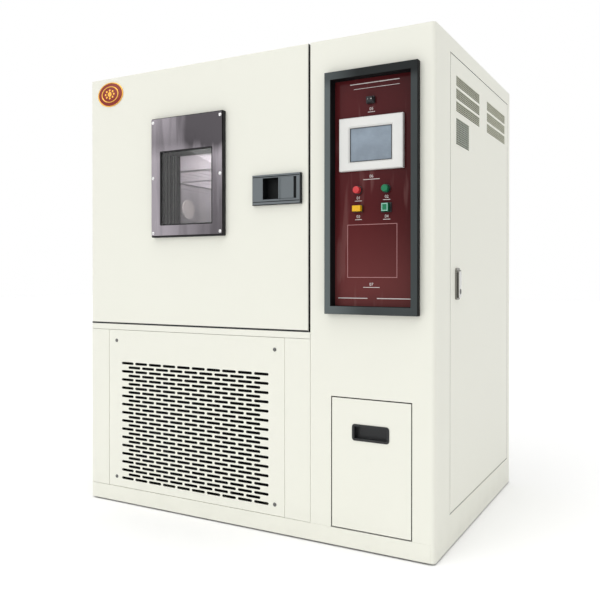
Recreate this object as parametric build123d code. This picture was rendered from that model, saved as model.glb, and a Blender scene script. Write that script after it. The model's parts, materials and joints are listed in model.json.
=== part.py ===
"""Environmental test chamber: insulated cabinet with a window door, control column and water drawer.

Millimetres. X runs to the right, Y into the depth (the door faces -Y) and Z up. The origin is on the
floor, under the middle of the cabinet.
"""

from build123d import *
import os

# Cabinet
WIDTH, DEPTH, HEIGHT = 1300.0, 920.0, 1520.0
LEFT, RIGHT = -WIDTH / 2, WIDTH / 2
FRONT, REAR = -DEPTH / 2, DEPTH / 2
SKIN = 2.0
CORNER_RADIUS = 12.0
FLOOR_GAP = 5.0
PLINTH_TOP = 57.0
SEAM = 1.0
HAIR = 0.1
DECK = 2.0

# Control column
COLUMN_LEFT = 256.0
COLUMN_CURVE_X = RIGHT - CORNER_RADIUS

# Main door
DOOR_RIGHT, DOOR_BOTTOM = 248.0, 641.0
DOOR_THICK = 62.0
DOOR_BACK = FRONT + DOOR_THICK
GASKET_THICK, GASKET_WIDTH = 9.8, 22.0
SEAT_PROUD = 0.8
MOUTH_FACE = DOOR_BACK + 10.0
PLUG_DEPTH, PLUG_GAP = 36.0, 12.0
DOOR_EDGE_RADIUS = 3.0
HINGE_X, HINGE_Y = LEFT - 6.0, DOOR_BACK + 5.0
HINGE_HEIGHTS = (760.0, 1080.0, 1400.0)
KNUCKLE_RADIUS, PIN_RADIUS, RUNNING_FIT = 6.0, 3.0, 0.05
LEAF_THICK, LEAF_HALF, KNUCKLE_HALF = 3.0, 45.0, 15.0

# Test space behind the door
INSIDE_LEFT, INSIDE_RIGHT = -521.0, 119.0
INSIDE_BOTTOM, INSIDE_TOP = 760.0, 1400.0
INSIDE_BACK = 320.0
FOAM_BACK = 400.0
FOAM_BOTTOM, FOAM_TOP = 642.0, 1518.0
BAFFLE_Y = 180.0
FAN_X, FAN_Z = -201.0, 1090.0
SHELF_HEIGHTS = (920.0, 1180.0)

# Window in the door
PANE_LEFT, PANE_RIGHT, PANE_BOTTOM, PANE_TOP = -317.0, -98.0, 982.0, 1234.0
TRIM_LEFT, TRIM_RIGHT, TRIM_BOTTOM, TRIM_TOP = -354.0, -59.0, 948.0, 1346.0
TRIM_EDGE = 2.5
WINDOW_BASE, WINDOW_PLATE = 14.0, 4.0
TUNNEL_WALL = 6.0
PANE_THICK = 4.0

# Door latch
LATCH_LEFT, LATCH_RIGHT, LATCH_BOTTOM, LATCH_TOP = 53.0, 228.0, 1033.0, 1128.0
LATCH_PROUD = 13.0
GRIP_LEFT, PADDLE_LEFT, PADDLE_POCKET_RIGHT = 93.0, 152.0, 214.0
GRIP_BOTTOM, GRIP_TOP = 1050.0, 1117.0
PADDLE_PIN_X, PADDLE_PIN_Y = 206.0, -465.0
BOLT_Y, BOLT_Z = -431.0, 1083.0
BOLT_DEEP, BOLT_TALL, BOLT_NOSE_X = 14.0, 16.0, 254.5

# Air intake grille
GRILLE_LEFT, GRILLE_RIGHT, GRILLE_TOP = -567.5, 164.5, 618.0
SLOT_LONG, SLOT_HIGH = 54.0, 8.0
SLOT_PITCH_X, SLOT_PITCH_Z = 62.1, 14.6
SLOT_ROWS, SLOTS_IN_LONG_ROW = 29, 10
FIRST_SLOT_X, TOP_SLOT_Z = -479.4, 500.5
GRILLE_SCREWS = ((-531.0, 580.0), (129.0, 580.0), (-531.0, 93.0), (129.0, 93.0))
RAIL_TOP = 639.0

# Control panel in the column
FRAME_LEFT, FRAME_RIGHT, FRAME_BOTTOM, FRAME_TOP = 314.0, 606.0, 698.0, 1415.0
FRAME_BAR_X, FRAME_BAR_Z = 20.5, 24.0
FRAME_PROUD, PANEL_DEEP, PANEL_THICK = 22.0, 12.0, 3.0
PANEL_FACE = FRONT + PANEL_DEEP
DISPLAY_LEFT, DISPLAY_RIGHT, DISPLAY_BOTTOM, DISPLAY_TOP = 353.5, 556.0, 1120.5, 1277.0
DISPLAY_PROUD = 15.0
SCREEN_LEFT, SCREEN_RIGHT, SCREEN_BOTTOM, SCREEN_TOP = 389.0, 519.5, 1147.5, 1245.5
BUTTON_XS, BUTTON_ZS = (411.0, 500.5), (1064.0, 1009.5)
ROUND_RADIUS, ROUND_PROUD = 10.5, 20.0
COLLAR_PROUD = 4.0
BARREL_RADIUS, BARREL_LONG = 8.0, 32.0
STEM_RADIUS, STEM_LONG, STEM_BORE_RADIUS = 4.0, 15.0, 4.5
ROCKER_X, ROCKER_Z, ROCKER_WIDE, ROCKER_TALL = 452.5, 1325.0, 25.0, 20.0
ROCKER_PIVOT_Y = -458.0

# Water drawer
DRAWER_LEFT, DRAWER_RIGHT, DRAWER_BOTTOM, DRAWER_TOP = 329.0, 581.0, 60.0, 449.0
DRAWER_GAP = 2.0
DRAWER_FRONT_THICK = 18.0
PULL_LEFT, PULL_RIGHT, PULL_BOTTOM, PULL_TOP = 396.0, 514.0, 325.5, 374.5
TRAY_LEFT, TRAY_RIGHT, TRAY_BACK = 336.0, 574.0, -30.0
TANK_LEFT, TANK_RIGHT, TANK_FRONT, TANK_BACK = 345.0, 565.0, -430.0, -60.0
TANK_BOTTOM, TANK_TOP, TANK_WALL = 68.0, 368.0, 4.0
FILLER_BACK = -300.0
SLIDE_Z, SLIDE_FRONT, SLIDE_BACK = 172.5, -438.0, -40.0

# Service door in the right side
SERVICE_FRONT, SERVICE_BACK, SERVICE_BOTTOM, SERVICE_TOP = -318.0, 412.0, 106.0, 1470.0
SERVICE_GAP = 2.5
SERVICE_FLANGE = 18.0
SERVICE_PIN_X, SERVICE_PIN_Y, SERVICE_PIN_RADIUS = 645.5, 407.5, 2.0
VENT_COLUMNS = ((-261.0, 5.0), (103.0, 369.0))
VENT_ROWS = ((1387.0, 1418.0), (1348.5, 1379.5), (1310.0, 1341.0))
FAN_VENT = (-261.0, -120.0, 1210.5, 1290.5)
LOCK_FRONT, LOCK_BACK, LOCK_BOTTOM, LOCK_TOP = -271.0, -236.0, 739.0, 835.0
LOCK_PLATE, LOCK_HANDLE_PROUD = 5.0, 12.0
LOCK_PIVOT_Z = 824.0
LOCK_BUTTON_Y, LOCK_BUTTON_Z = -253.5, 763.5

# Feet and rear fittings
FOOT_X, FOOT_Y = 580.0, 390.0
REAR_PROUD = 22.0
PORT_Y, PORT_Z, PORT_RADIUS = -60.0, 1080.0, 28.0

MIN = (Align.MIN, Align.MIN, Align.MIN)


def block(x0, x1, y0, y1, z0, z1):
    """Box between two corners."""
    return Pos(x0, y0, z0) * Box(x1 - x0, y1 - y0, z1 - z0, align=MIN)


def rod(axis, a, b, start, end, radius):
    """Round bar along X, Y or Z. a and b are its place on the other two axes, in order."""
    turn = {"x": Rot(0, 90, 0), "y": Rot(-90, 0, 0), "z": Rot(0, 0, 0)}[axis]
    place = {"x": Pos(start, a, b), "y": Pos(a, start, b), "z": Pos(a, b, start)}[axis]
    upright = (Align.CENTER, Align.CENTER, Align.MIN)
    return place * turn * Cylinder(radius, end - start, align=upright)


def rect(u0, u1, v0, v1, radius=0.0):
    """Rectangle between two corners of a sketch, with round corners if a radius is given."""
    place = Pos((u0 + u1) / 2, (v0 + v1) / 2)
    if radius:
        return place * RectangleRounded(u1 - u0, v1 - v0, radius)
    return place * Rectangle(u1 - u0, v1 - v0)


def front_sheet(sketch, y_front, thick):
    """Sheet that faces the front, from a sketch in X and Z."""
    return Pos(0, y_front + thick, 0) * extrude(Plane.XZ * sketch, thick)


def side_sheet(sketch, x_inner, thick):
    """Sheet that faces the side, from a sketch in Y and Z."""
    return Pos(x_inner, 0, 0) * extrude(Plane.YZ * sketch, thick)


def slotted(outline, slots):
    """Flat face with many slots, made from its wires."""
    return Face(outline.wire(), [slot.wire() for slot in slots])


def mirrored(solid, x):
    """The same solid seen in a mirror across the plane at x."""
    return Pos(x, 0, 0) * mirror(Pos(-x, 0, 0) * solid, about=Plane.YZ)


# Cabinet skins


def base_plinth():
    """Kick-plate ring with the deck that carries everything."""
    outline = rect(LEFT, RIGHT - SKIN, FRONT, REAR)
    for y0, y1 in ((FRONT, FRONT + CORNER_RADIUS), (REAR - CORNER_RADIUS, REAR)):
        outline -= rect(COLUMN_CURVE_X, RIGHT, y0, y1)
    hollow = offset(outline, amount=-3, kind=Kind.INTERSECTION)
    ring = Pos(0, 0, FLOOR_GAP) * extrude(outline - hollow, PLINTH_TOP - DECK - FLOOR_GAP)
    deck = Pos(0, 0, PLINTH_TOP - DECK) * extrude(outline, DECK)
    return ring + deck


def levelling_feet():
    """Four screw feet: a round pad and a hexagon stem up to the deck."""
    feet = []
    for x in (-FOOT_X, FOOT_X):
        for y in (-FOOT_Y, FOOT_Y):
            stem = Pos(x, y, 12) * extrude(RegularPolygon(9, 6), PLINTH_TOP - DECK - 12)
            feet.append(rod("z", x, y, 0, 12, 26) + stem)
    return Part() + feet


def column_shell():
    """One folded sheet: the column's front, its round corner, the right side and a rear return."""
    width = 2 * (RIGHT - COLUMN_LEFT)
    outer = RectangleRounded(width, DEPTH, CORNER_RADIUS)
    inner = RectangleRounded(width - 2 * SKIN, DEPTH - 2 * SKIN, CORNER_RADIUS - SKIN)
    section = Pos(COLUMN_LEFT, 0) * (outer - inner)
    section &= rect(COLUMN_LEFT, RIGHT, FRONT, REAR)
    section -= rect(COLUMN_LEFT, 620, 0, REAR)
    shell = Pos(0, 0, FLOOR_GAP) * extrude(section, HEIGHT - FLOOR_GAP)
    below = (FLOOR_GAP - 1, PLINTH_TOP)
    shell -= block(COLUMN_LEFT - 1, COLUMN_CURVE_X, FRONT - 1, REAR + 1, *below)
    shell -= front_hole(FRAME_LEFT + 6, FRAME_RIGHT - 6, FRAME_BOTTOM + 6, FRAME_TOP - 6)
    drawer_gap = (DRAWER_LEFT - DRAWER_GAP, DRAWER_RIGHT + DRAWER_GAP)
    shell -= front_hole(*drawer_gap, PLINTH_TOP - 1, DRAWER_TOP + DRAWER_GAP)
    gap = SERVICE_GAP
    shell -= block(
        RIGHT - 5, RIGHT + 5, SERVICE_FRONT - gap, SERVICE_BACK + gap, SERVICE_BOTTOM - gap, SERVICE_TOP + gap
    )
    return shell


def front_hole(x0, x1, z0, z1):
    """Cutter for a rectangular hole in the front skin."""
    return block(x0, x1, FRONT - 5, FRONT + 5, z0, z1)


def cabinet_wrap():
    """Folded sheet of the left side and the top, stepped back behind the door."""
    behind_door = rect(LEFT + SKIN, COLUMN_LEFT, MOUTH_FACE + SKIN, REAR - SKIN)
    width = 2 * (RIGHT - SKIN - COLUMN_LEFT)
    column = Pos(COLUMN_LEFT, 0) * RectangleRounded(width, DEPTH - 2 * SKIN, CORNER_RADIUS - SKIN)
    column &= rect(COLUMN_LEFT, RIGHT, FRONT, REAR)
    side = rect(FRONT + SKIN, REAR - SKIN, PLINTH_TOP, RAIL_TOP)
    side += rect(MOUTH_FACE + SKIN, REAR - SKIN, RAIL_TOP, HEIGHT)
    side -= Pos(PORT_Y, PORT_Z) * Circle(PORT_RADIUS)
    return Pos(0, 0, HEIGHT - SKIN) * extrude(behind_door + column, SKIN) + side_sheet(side, LEFT, SKIN)


def rear_panel():
    """Rear skin with the outlet louvres of the machine space."""
    slots = []
    for column in range(3):
        for row in range(8):
            slots.append(Pos(-500 + 150 * column, 150 + 42 * row) * Rectangle(110, 12))
    outline = rect(LEFT, 620, PLINTH_TOP, HEIGHT)
    return front_sheet(slotted(outline, slots), REAR - SKIN, SKIN)


def rear_motor_cover():
    """Folded cover over the circulation motor's tail, with slots in its face."""
    cover = block(FAN_X - 140, FAN_X + 140, REAR, REAR + REAR_PROUD, 960, 1220)
    cover = chamfer(cover.edges().filter_by_position(Axis.Y, REAR + REAR_PROUD, REAR + REAR_PROUD), 1.5)
    cover -= block(FAN_X - 138, FAN_X + 138, REAR - 1, REAR + REAR_PROUD - SKIN, 962, 1218)
    for row in range(6):
        z = 1030 + 24 * row
        cover -= block(FAN_X - 90, FAN_X + 90, REAR + 10, REAR + REAR_PROUD + 1, z, z + 8)
    return cover


def lower_front_frame():
    """Sill rail under the door and the two folded covers beside the grille."""
    rail = block(LEFT, COLUMN_LEFT - SEAM, FRONT, FRONT + SKIN, GRILLE_TOP + SEAM, RAIL_TOP)
    rail += block(LEFT + SKIN, COLUMN_LEFT - SEAM, FRONT, MOUTH_FACE + SKIN, RAIL_TOP - SKIN, RAIL_TOP)
    left = folded_cover(LEFT, GRILLE_LEFT - SEAM)
    right = folded_cover(GRILLE_RIGHT + SEAM, COLUMN_LEFT - SEAM)
    return Part() + [rail, left, right]


def folded_cover(x0, x1):
    """Upright cover with a return flange down each side, standing on the deck."""
    face = block(x0, x1, FRONT, FRONT + SKIN, PLINTH_TOP + SEAM, GRILLE_TOP)
    first = block(x0 + SKIN, x0 + 2 * SKIN, FRONT + SKIN, FRONT + 30, PLINTH_TOP, GRILLE_TOP)
    second = block(x1 - SKIN, x1, FRONT + SKIN, FRONT + 30, PLINTH_TOP, GRILLE_TOP)
    return face + first + second


def slot_places():
    """Middles of the grille's slots: long rows and short rows in turn, each set half a pitch over."""
    places = []
    for row in range(SLOT_ROWS):
        short = row % 2
        z = TOP_SLOT_Z - SLOT_PITCH_Z * row
        for column in range(SLOTS_IN_LONG_ROW - short):
            x = FIRST_SLOT_X + SLOT_PITCH_X * (column + short / 2)
            places.append((x, z))
    return places


def intake_grille():
    """Slotted intake panel with a return flange all round."""
    outline = rect(GRILLE_LEFT, GRILLE_RIGHT, PLINTH_TOP + SEAM, GRILLE_TOP)
    slots = [Pos(x, z) * Rectangle(SLOT_LONG, SLOT_HIGH) for x, z in slot_places()]
    face = front_sheet(slotted(outline, slots), FRONT, SKIN)
    flange = outline - offset(outline, amount=-SKIN, kind=Kind.INTERSECTION)
    return face + front_sheet(flange, FRONT + SKIN, 14)


def grille_screws():
    """Four pan-head screws that hold the intake panel."""
    return Part() + [rod("y", x, z, FRONT - 2.5, FRONT, 4.5) for x, z in GRILLE_SCREWS]


# Insulated test space


def insulation_boards():
    """Five foam boards round the liner."""
    left, right = LEFT + SKIN, COLUMN_LEFT - SEAM
    wall_left, wall_right = INSIDE_LEFT - SKIN, INSIDE_RIGHT + SKIN
    wall_bottom, wall_top = INSIDE_BOTTOM - SKIN, INSIDE_TOP + SKIN
    front, back = MOUTH_FACE + SKIN, INSIDE_BACK + SKIN
    boards = [
        block(left, right, front, FOAM_BACK, FOAM_BOTTOM, wall_bottom),
        block(left, right, front, FOAM_BACK, wall_top, FOAM_TOP),
        block(left, wall_left, front, FOAM_BACK, wall_bottom + HAIR, wall_top - HAIR),
        block(wall_right, right, front, FOAM_BACK, wall_bottom + HAIR, wall_top - HAIR),
        block(wall_left + HAIR, wall_right - HAIR, back, FOAM_BACK, wall_bottom + HAIR, wall_top - HAIR),
    ]
    boards[2] -= rod("x", PORT_Y, PORT_Z, left - 1, wall_left + 1, PORT_RADIUS)
    boards[4] -= rod("y", FAN_X, FAN_Z, back - 1, FOAM_BACK + 1, 12)
    return Part() + boards


def chamber_liner():
    """Stainless liner with the flat frame round its mouth and the welded runners of the shelves."""
    left, right, bottom, top = INSIDE_LEFT, INSIDE_RIGHT, INSIDE_BOTTOM, INSIDE_TOP
    front, back = MOUTH_FACE + SKIN, INSIDE_BACK
    mouth = rect(LEFT, COLUMN_LEFT - SEAM, RAIL_TOP + SEAM, HEIGHT) - rect(left, right, bottom, top)
    liner = front_sheet(mouth, MOUTH_FACE, SKIN)
    wall = rect(left - SKIN, right + SKIN, bottom - SKIN, top + SKIN) - rect(left, right, bottom, top)
    liner += front_sheet(wall, front, back - front)
    liner += block(left - SKIN, right + SKIN, back, back + SKIN, bottom - SKIN, top + SKIN)
    liner -= rod("y", FAN_X, FAN_Z, back - 1, back + SKIN + 1, 12)
    liner -= rod("x", PORT_Y, PORT_Z, left - SKIN - 1, left + 1, PORT_RADIUS)
    for z in SHELF_HEIGHTS:
        for x, inward in ((left, 1), (right, -1)):
            ledge = sorted((x, x + 14 * inward))
            web = sorted((x, x + 2 * inward))
            liner += block(*ledge, MOUTH_FACE + 40, BAFFLE_Y - 10, z - 2, z)
            liner += block(*web, MOUTH_FACE + 40, BAFFLE_Y - 10, z - 22, z - 2)
    return liner


def cable_port():
    """Cable port through the left wall, closed by its soft plug."""
    tube = rod("x", PORT_Y, PORT_Z, LEFT, INSIDE_LEFT, PORT_RADIUS)
    outer = rod("x", PORT_Y, PORT_Z, LEFT - 12, LEFT, 40)
    return tube + outer + rod("x", PORT_Y, PORT_Z, INSIDE_LEFT, INSIDE_LEFT + 5, 38)


def air_baffle():
    """Wall before the fan, with a round inlet and rows of outlet slots at its top and foot."""
    outline = rect(INSIDE_LEFT, INSIDE_RIGHT, INSIDE_BOTTOM, INSIDE_TOP)
    holes = [Pos(FAN_X, FAN_Z) * Circle(95)]
    for z in (INSIDE_BOTTOM + 24, INSIDE_TOP - 44, INSIDE_TOP - 22):
        for column in range(8):
            holes.append(Pos(INSIDE_LEFT + 75 + 70 * column, z) * Rectangle(54, 10))
    return front_sheet(slotted(outline, holes), BAFFLE_Y, SKIN)


def specimen_shelves():
    """Two wire shelves: a rim of bars and rods that run front to back."""
    shelves = []
    left, right = INSIDE_LEFT + 3, INSIDE_RIGHT - 3
    front, back = MOUTH_FACE + 45, BAFFLE_Y - 15
    for z in SHELF_HEIGHTS:
        rim = rect(left, right, front, back) - rect(left + 6, right - 6, front + 6, back - 6)
        shelf = Pos(0, 0, z) * extrude(rim, 6)
        shelf += block(left + 6, right - 6, -110, -104, z, z + 6)
        for column in range(1, 12):
            x = left + (right - left) * column / 12
            shelf += block(x - 1.5, x + 1.5, front, back, z + 6, z + 9)
        shelves.append(shelf)
    return Part() + shelves


def chamber_lamp():
    """Sealed lamp under the liner's roof."""
    lamp = block(-270, -130, -300, -240, INSIDE_TOP - 30, INSIDE_TOP)
    return chamfer(lamp.edges().filter_by_position(Axis.Z, INSIDE_TOP - 30, INSIDE_TOP - 30), 8)


def fan_wheel():
    """Circulation wheel: back plate, hub with its shaft through the wall, and twelve blades."""
    wheel = rod("y", FAN_X, FAN_Z, 262, 265, 110) + rod("y", FAN_X, FAN_Z, 235, 262, 18)
    wheel += rod("y", FAN_X, FAN_Z, 265, 404, 8)
    blade = Pos(82, 0, 0) * Rot(0, 0, 35) * Box(48, 2.5, 50, align=(Align.CENTER, Align.CENTER, Align.MIN))
    for turn in range(12):
        wheel += Pos(FAN_X, 262, FAN_Z) * Rot(90, 0, 0) * Rot(0, 0, 30 * turn) * blade
    return wheel


def circulation_motor():
    """Motor behind the foam, with a bored nose for the wheel's shaft, and its rear bracket."""
    motor = rod("y", FAN_X, FAN_Z, FOAM_BACK, REAR - SKIN, 48)
    motor += block(FAN_X - 70, FAN_X + 70, FOAM_BACK, FOAM_BACK + 5, FAN_Z - 70, FAN_Z + 70)
    return motor - rod("y", FAN_X, FAN_Z, FOAM_BACK - 1, FOAM_BACK + 10, 8 + RUNNING_FIT)


def evaporator():
    """Cooling coil under the wheel: fins between two end plates, with tube bends at one side."""
    coil = block(-480, 60, 220, 300, INSIDE_BOTTOM + 20, 930)
    for groove in range(17):
        x = -462 + 31.5 * groove
        coil -= block(x, x + 16, 219, 226, INSIDE_BOTTOM + 21, 929)
    foot = block(-480, -470, 220, 300, INSIDE_BOTTOM, INSIDE_BOTTOM + 20)
    return coil + foot + Pos(530, 0, 0) * foot


def heater():
    """Heating element: a rod folded three times, held by two straps from the liner's back."""
    bar = Rot(0, 90, 0) * extrude(RegularPolygon(5, 6), 480)
    bars = [Pos(-440, 250, z) * bar for z in (1260, 1290, 1320)]
    straps = [block(x, x + 8, 240, INSIDE_BACK, 1250, 1330) for x in (-380, -28)]
    ends = [block(x, x + 10, 245, 255, 1255, 1325) for x in (-450, 40)]
    return Part() + bars + straps + ends


# Main door


def door_shell():
    """Painted pan of the door: face and four folded sides."""
    pan = block(LEFT, DOOR_RIGHT, FRONT, DOOR_BACK, DOOR_BOTTOM, HEIGHT)
    pan = fillet(pan.edges().filter_by_position(Axis.Y, FRONT, FRONT), DOOR_EDGE_RADIUS)
    pan -= inside_door(FRONT + SKIN, DOOR_BACK + 1)
    pan -= window_hole() + latch_pocket()
    return pan - bolt_hole(DOOR_RIGHT - 10, DOOR_RIGHT + 10)


def inside_door(y0, y1):
    """Block that fills the door's pan between two depths."""
    return block(LEFT + SKIN, DOOR_RIGHT - SKIN, y0, y1, DOOR_BOTTOM + SKIN, HEIGHT - SKIN)


def window_hole():
    """Cutter for the window tunnel, right through the door."""
    wall = TUNNEL_WALL
    x0, x1, z0, z1 = PANE_LEFT - wall, PANE_RIGHT + wall, PANE_BOTTOM - wall, PANE_TOP + wall
    return block(x0, x1, FRONT - 20, DOOR_BACK + PLUG_DEPTH + 20, z0, z1)


def latch_pocket():
    """Cutter for the latch case."""
    return block(LATCH_LEFT + 7, LATCH_RIGHT - 8, FRONT - 20, -418, LATCH_BOTTOM + 7, LATCH_TOP - 7)


def bolt_hole(x0, x1):
    """Cutter for the bolt's way, with clearance all round."""
    deep, tall = BOLT_DEEP / 2 + 0.4, BOLT_TALL / 2 + 0.4
    return block(x0, x1, BOLT_Y - deep, BOLT_Y + deep, BOLT_Z - tall, BOLT_Z + tall)


def bolt_guide():
    """Guide of the bolt, between the latch case and the door's right side."""
    return block(LATCH_RIGHT - 8, DOOR_RIGHT - SKIN, BOLT_Y - 10, BOLT_Y + 10, BOLT_Z - 11, BOLT_Z + 11)


def door_core():
    """Foam core of the door with the stainless inner panel and the plug that fits the chamber's mouth."""
    core = inside_door(FRONT + SKIN, DOOR_BACK - SKIN)
    core -= window_hole() + latch_pocket()
    core -= bolt_guide()
    back = DOOR_BACK + PLUG_DEPTH
    gap = PLUG_GAP
    sheet = inside_door(DOOR_BACK - SKIN, DOOR_BACK)
    plug = rect(INSIDE_LEFT + gap, INSIDE_RIGHT - gap, INSIDE_BOTTOM + gap, INSIDE_TOP - gap)
    plug = front_sheet(plug, DOOR_BACK, PLUG_DEPTH)
    plug = chamfer(plug.edges().filter_by_position(Axis.Y, back, back), 8)
    return core + (sheet + plug - window_hole())


def door_gasket():
    """Soft seal that presses on the frame round the mouth."""
    near, far = 30, 30 + GASKET_WIDTH
    outer = rect(INSIDE_LEFT - far, INSIDE_RIGHT + far, INSIDE_BOTTOM - far, INSIDE_TOP + far, 20)
    inner = rect(INSIDE_LEFT - near, INSIDE_RIGHT + near, INSIDE_BOTTOM - near, INSIDE_TOP + near)
    return front_sheet(outer - inner, DOOR_BACK, GASKET_THICK)


def window_frame():
    """Dark base of the window trim with the tunnel that runs through the door."""
    wall, edge = TUNNEL_WALL, TRIM_EDGE
    pane = rect(PANE_LEFT, PANE_RIGHT, PANE_BOTTOM, PANE_TOP)
    base = rect(TRIM_LEFT - edge, TRIM_RIGHT + edge, TRIM_BOTTOM - 6, TRIM_TOP + edge, 4) - pane
    tunnel = rect(PANE_LEFT - wall, PANE_RIGHT + wall, PANE_BOTTOM - wall, PANE_TOP + wall) - pane
    length = DOOR_THICK + PLUG_DEPTH
    return front_sheet(base, FRONT - WINDOW_BASE, WINDOW_BASE) + front_sheet(tunnel, FRONT, length)


def window_plate():
    """Polished trim plate round the window."""
    plate = rect(TRIM_LEFT, TRIM_RIGHT, TRIM_BOTTOM, TRIM_TOP, 3)
    plate -= rect(PANE_LEFT, PANE_RIGHT, PANE_BOTTOM, PANE_TOP)
    return front_sheet(plate, FRONT - WINDOW_BASE - WINDOW_PLATE, WINDOW_PLATE)


def window_panes():
    """Three glass panes, one behind the other in the tunnel."""
    places = (FRONT - WINDOW_BASE, -420.0, DOOR_BACK + PLUG_DEPTH - PANE_THICK - 2)
    pane = rect(PANE_LEFT, PANE_RIGHT, PANE_BOTTOM, PANE_TOP)
    return Part() + [front_sheet(pane, y, PANE_THICK) for y in places]


def door_hinge_leaves():
    """Three hinge leaves on the door's left side, each with its middle knuckle."""
    leaves = []
    for z in HINGE_HEIGHTS:
        half = KNUCKLE_HALF - 0.4
        leaf = block(LEFT - LEAF_THICK, LEFT, HINGE_Y - 48, HINGE_Y - 7, z - LEAF_HALF, z + LEAF_HALF)
        leaf += block(LEFT - LEAF_THICK, LEFT - 0.3, HINGE_Y - 8, HINGE_Y, z - half, z + half)
        leaf += rod("z", HINGE_X, HINGE_Y, z - half, z + half, KNUCKLE_RADIUS - 0.3)
        leaves.append(leaf - rod("z", HINGE_X, HINGE_Y, z - 60, z + 60, PIN_RADIUS + RUNNING_FIT))
    return Part() + leaves


def cabinet_hinge_leaves():
    """Three hinge leaves on the cabinet's left side, each with two knuckles and the pin."""
    leaves = []
    for z in HINGE_HEIGHTS:
        leaf = block(LEFT - LEAF_THICK, LEFT, HINGE_Y + 7, HINGE_Y + 48, z - LEAF_HALF, z + LEAF_HALF)
        for low, high in ((z - LEAF_HALF, z - KNUCKLE_HALF), (z + KNUCKLE_HALF, z + LEAF_HALF)):
            leaf += block(LEFT - LEAF_THICK, LEFT - 0.3, HINGE_Y, HINGE_Y + 8, low, high)
            leaf += rod("z", HINGE_X, HINGE_Y, low, high, KNUCKLE_RADIUS - 0.3)
        leaf += rod("z", HINGE_X, HINGE_Y, z - LEAF_HALF, z + LEAF_HALF, PIN_RADIUS)
        leaves.append(leaf)
    return Part() + leaves


def latch_case():
    """Latch bezel with the finger recess, the paddle's pin and the bolt's guide behind."""
    bezel = block(LATCH_LEFT, LATCH_RIGHT, FRONT - LATCH_PROUD, FRONT, LATCH_BOTTOM, LATCH_TOP)
    bezel = chamfer(bezel.edges().filter_by_position(Axis.Y, FRONT - LATCH_PROUD, FRONT - LATCH_PROUD), 2)
    case = bezel + block(LATCH_LEFT + 7, LATCH_RIGHT - 8, FRONT, -418, LATCH_BOTTOM + 7, LATCH_TOP - 7)
    case -= block(GRIP_LEFT, PADDLE_POCKET_RIGHT, FRONT - 20, -443, GRIP_BOTTOM, GRIP_TOP)
    case += bolt_guide()
    case -= bolt_hole(205, DOOR_RIGHT)
    return case + rod("z", PADDLE_PIN_X, PADDLE_PIN_Y, GRIP_BOTTOM, GRIP_TOP, PIN_RADIUS)


def latch_paddle():
    """Pull paddle: a plate with a rolled free edge, and a barrel round the pin."""
    low, high = GRIP_BOTTOM + 0.6, GRIP_TOP - 0.6
    plate = block(PADDLE_LEFT, PADDLE_PIN_X, PADDLE_PIN_Y - 10, PADDLE_PIN_Y - 4, low, high)
    lip = block(PADDLE_LEFT, PADDLE_LEFT + 6, PADDLE_PIN_Y - 13, PADDLE_PIN_Y + 6, low, high)
    lip = fillet(lip.edges().filter_by(Axis.Z), 2.5)
    barrel = rod("z", PADDLE_PIN_X, PADDLE_PIN_Y, low, high, 7)
    neck = block(PADDLE_PIN_X - 8, PADDLE_PIN_X, PADDLE_PIN_Y - 9, PADDLE_PIN_Y, low, high)
    bore = rod("z", PADDLE_PIN_X, PADDLE_PIN_Y, low - 1, high + 1, PIN_RADIUS + RUNNING_FIT)
    return plate + lip + barrel + neck - bore


def latch_bolt():
    """Bolt that runs in its guide, with a sloped nose in the gap beside the column."""
    deep, tall = BOLT_DEEP / 2, BOLT_TALL / 2
    bolt = block(218, BOLT_NOSE_X, BOLT_Y - deep, BOLT_Y + deep, BOLT_Z - tall, BOLT_Z + tall)
    return chamfer(bolt.edges().filter_by_position(Axis.X, BOLT_NOSE_X, BOLT_NOSE_X).filter_by(Axis.Z), 5)


# Control column


def column_partition():
    """Wall between the insulated side and the column, with the pressed seat of the latch bolt."""
    sheet = rect(FRONT + SKIN, REAR - SKIN, PLINTH_TOP, HEIGHT - SKIN)
    wall = side_sheet(sheet, COLUMN_LEFT, SKIN)
    seat = rect(BOLT_Y - 12, BOLT_Y + 16, BOLT_Z - 14, BOLT_Z + 14)
    return wall + side_sheet(seat, COLUMN_LEFT - SEAT_PROUD, SEAT_PROUD)


def control_frame():
    """Deep frame that stands out of the column round the control panel."""
    bar_x, bar_z = FRAME_BAR_X, FRAME_BAR_Z
    inner = rect(FRAME_LEFT + bar_x, FRAME_RIGHT - bar_x, FRAME_BOTTOM + bar_z, FRAME_TOP - bar_z)
    outer = rect(FRAME_LEFT, FRAME_RIGHT, FRAME_BOTTOM, FRAME_TOP)
    bars = front_sheet(outer, FRONT - FRAME_PROUD, FRAME_PROUD)
    bars = chamfer(bars.edges().filter_by_position(Axis.Y, FRONT - FRAME_PROUD, FRONT - FRAME_PROUD), 1.5)
    neck = rect(FRAME_LEFT + 7, FRAME_RIGHT - 7, FRAME_BOTTOM + 7, FRAME_TOP - 7)
    bars += front_sheet(neck, FRONT, PANEL_DEEP)
    return bars - front_sheet(inner, FRONT - FRAME_PROUD - 1, FRAME_PROUD + PANEL_DEEP + 2)


def control_panel():
    """Lacquered panel at the back of the frame, cut for the display and the switches."""
    sheet = rect(FRAME_LEFT + 7, FRAME_RIGHT - 7, FRAME_BOTTOM + 7, FRAME_TOP - 7)
    sheet -= rect(DISPLAY_LEFT + 6, DISPLAY_RIGHT - 6, DISPLAY_BOTTOM + 6, DISPLAY_TOP - 6)
    for x in BUTTON_XS:
        for z in BUTTON_ZS:
            sheet -= Pos(x, z) * Circle(BARREL_RADIUS)
    sheet -= Pos(ROCKER_X, ROCKER_Z) * Rectangle(ROCKER_WIDE - 4, ROCKER_TALL - 3)
    return front_sheet(sheet, PANEL_FACE, PANEL_THICK)


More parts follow.
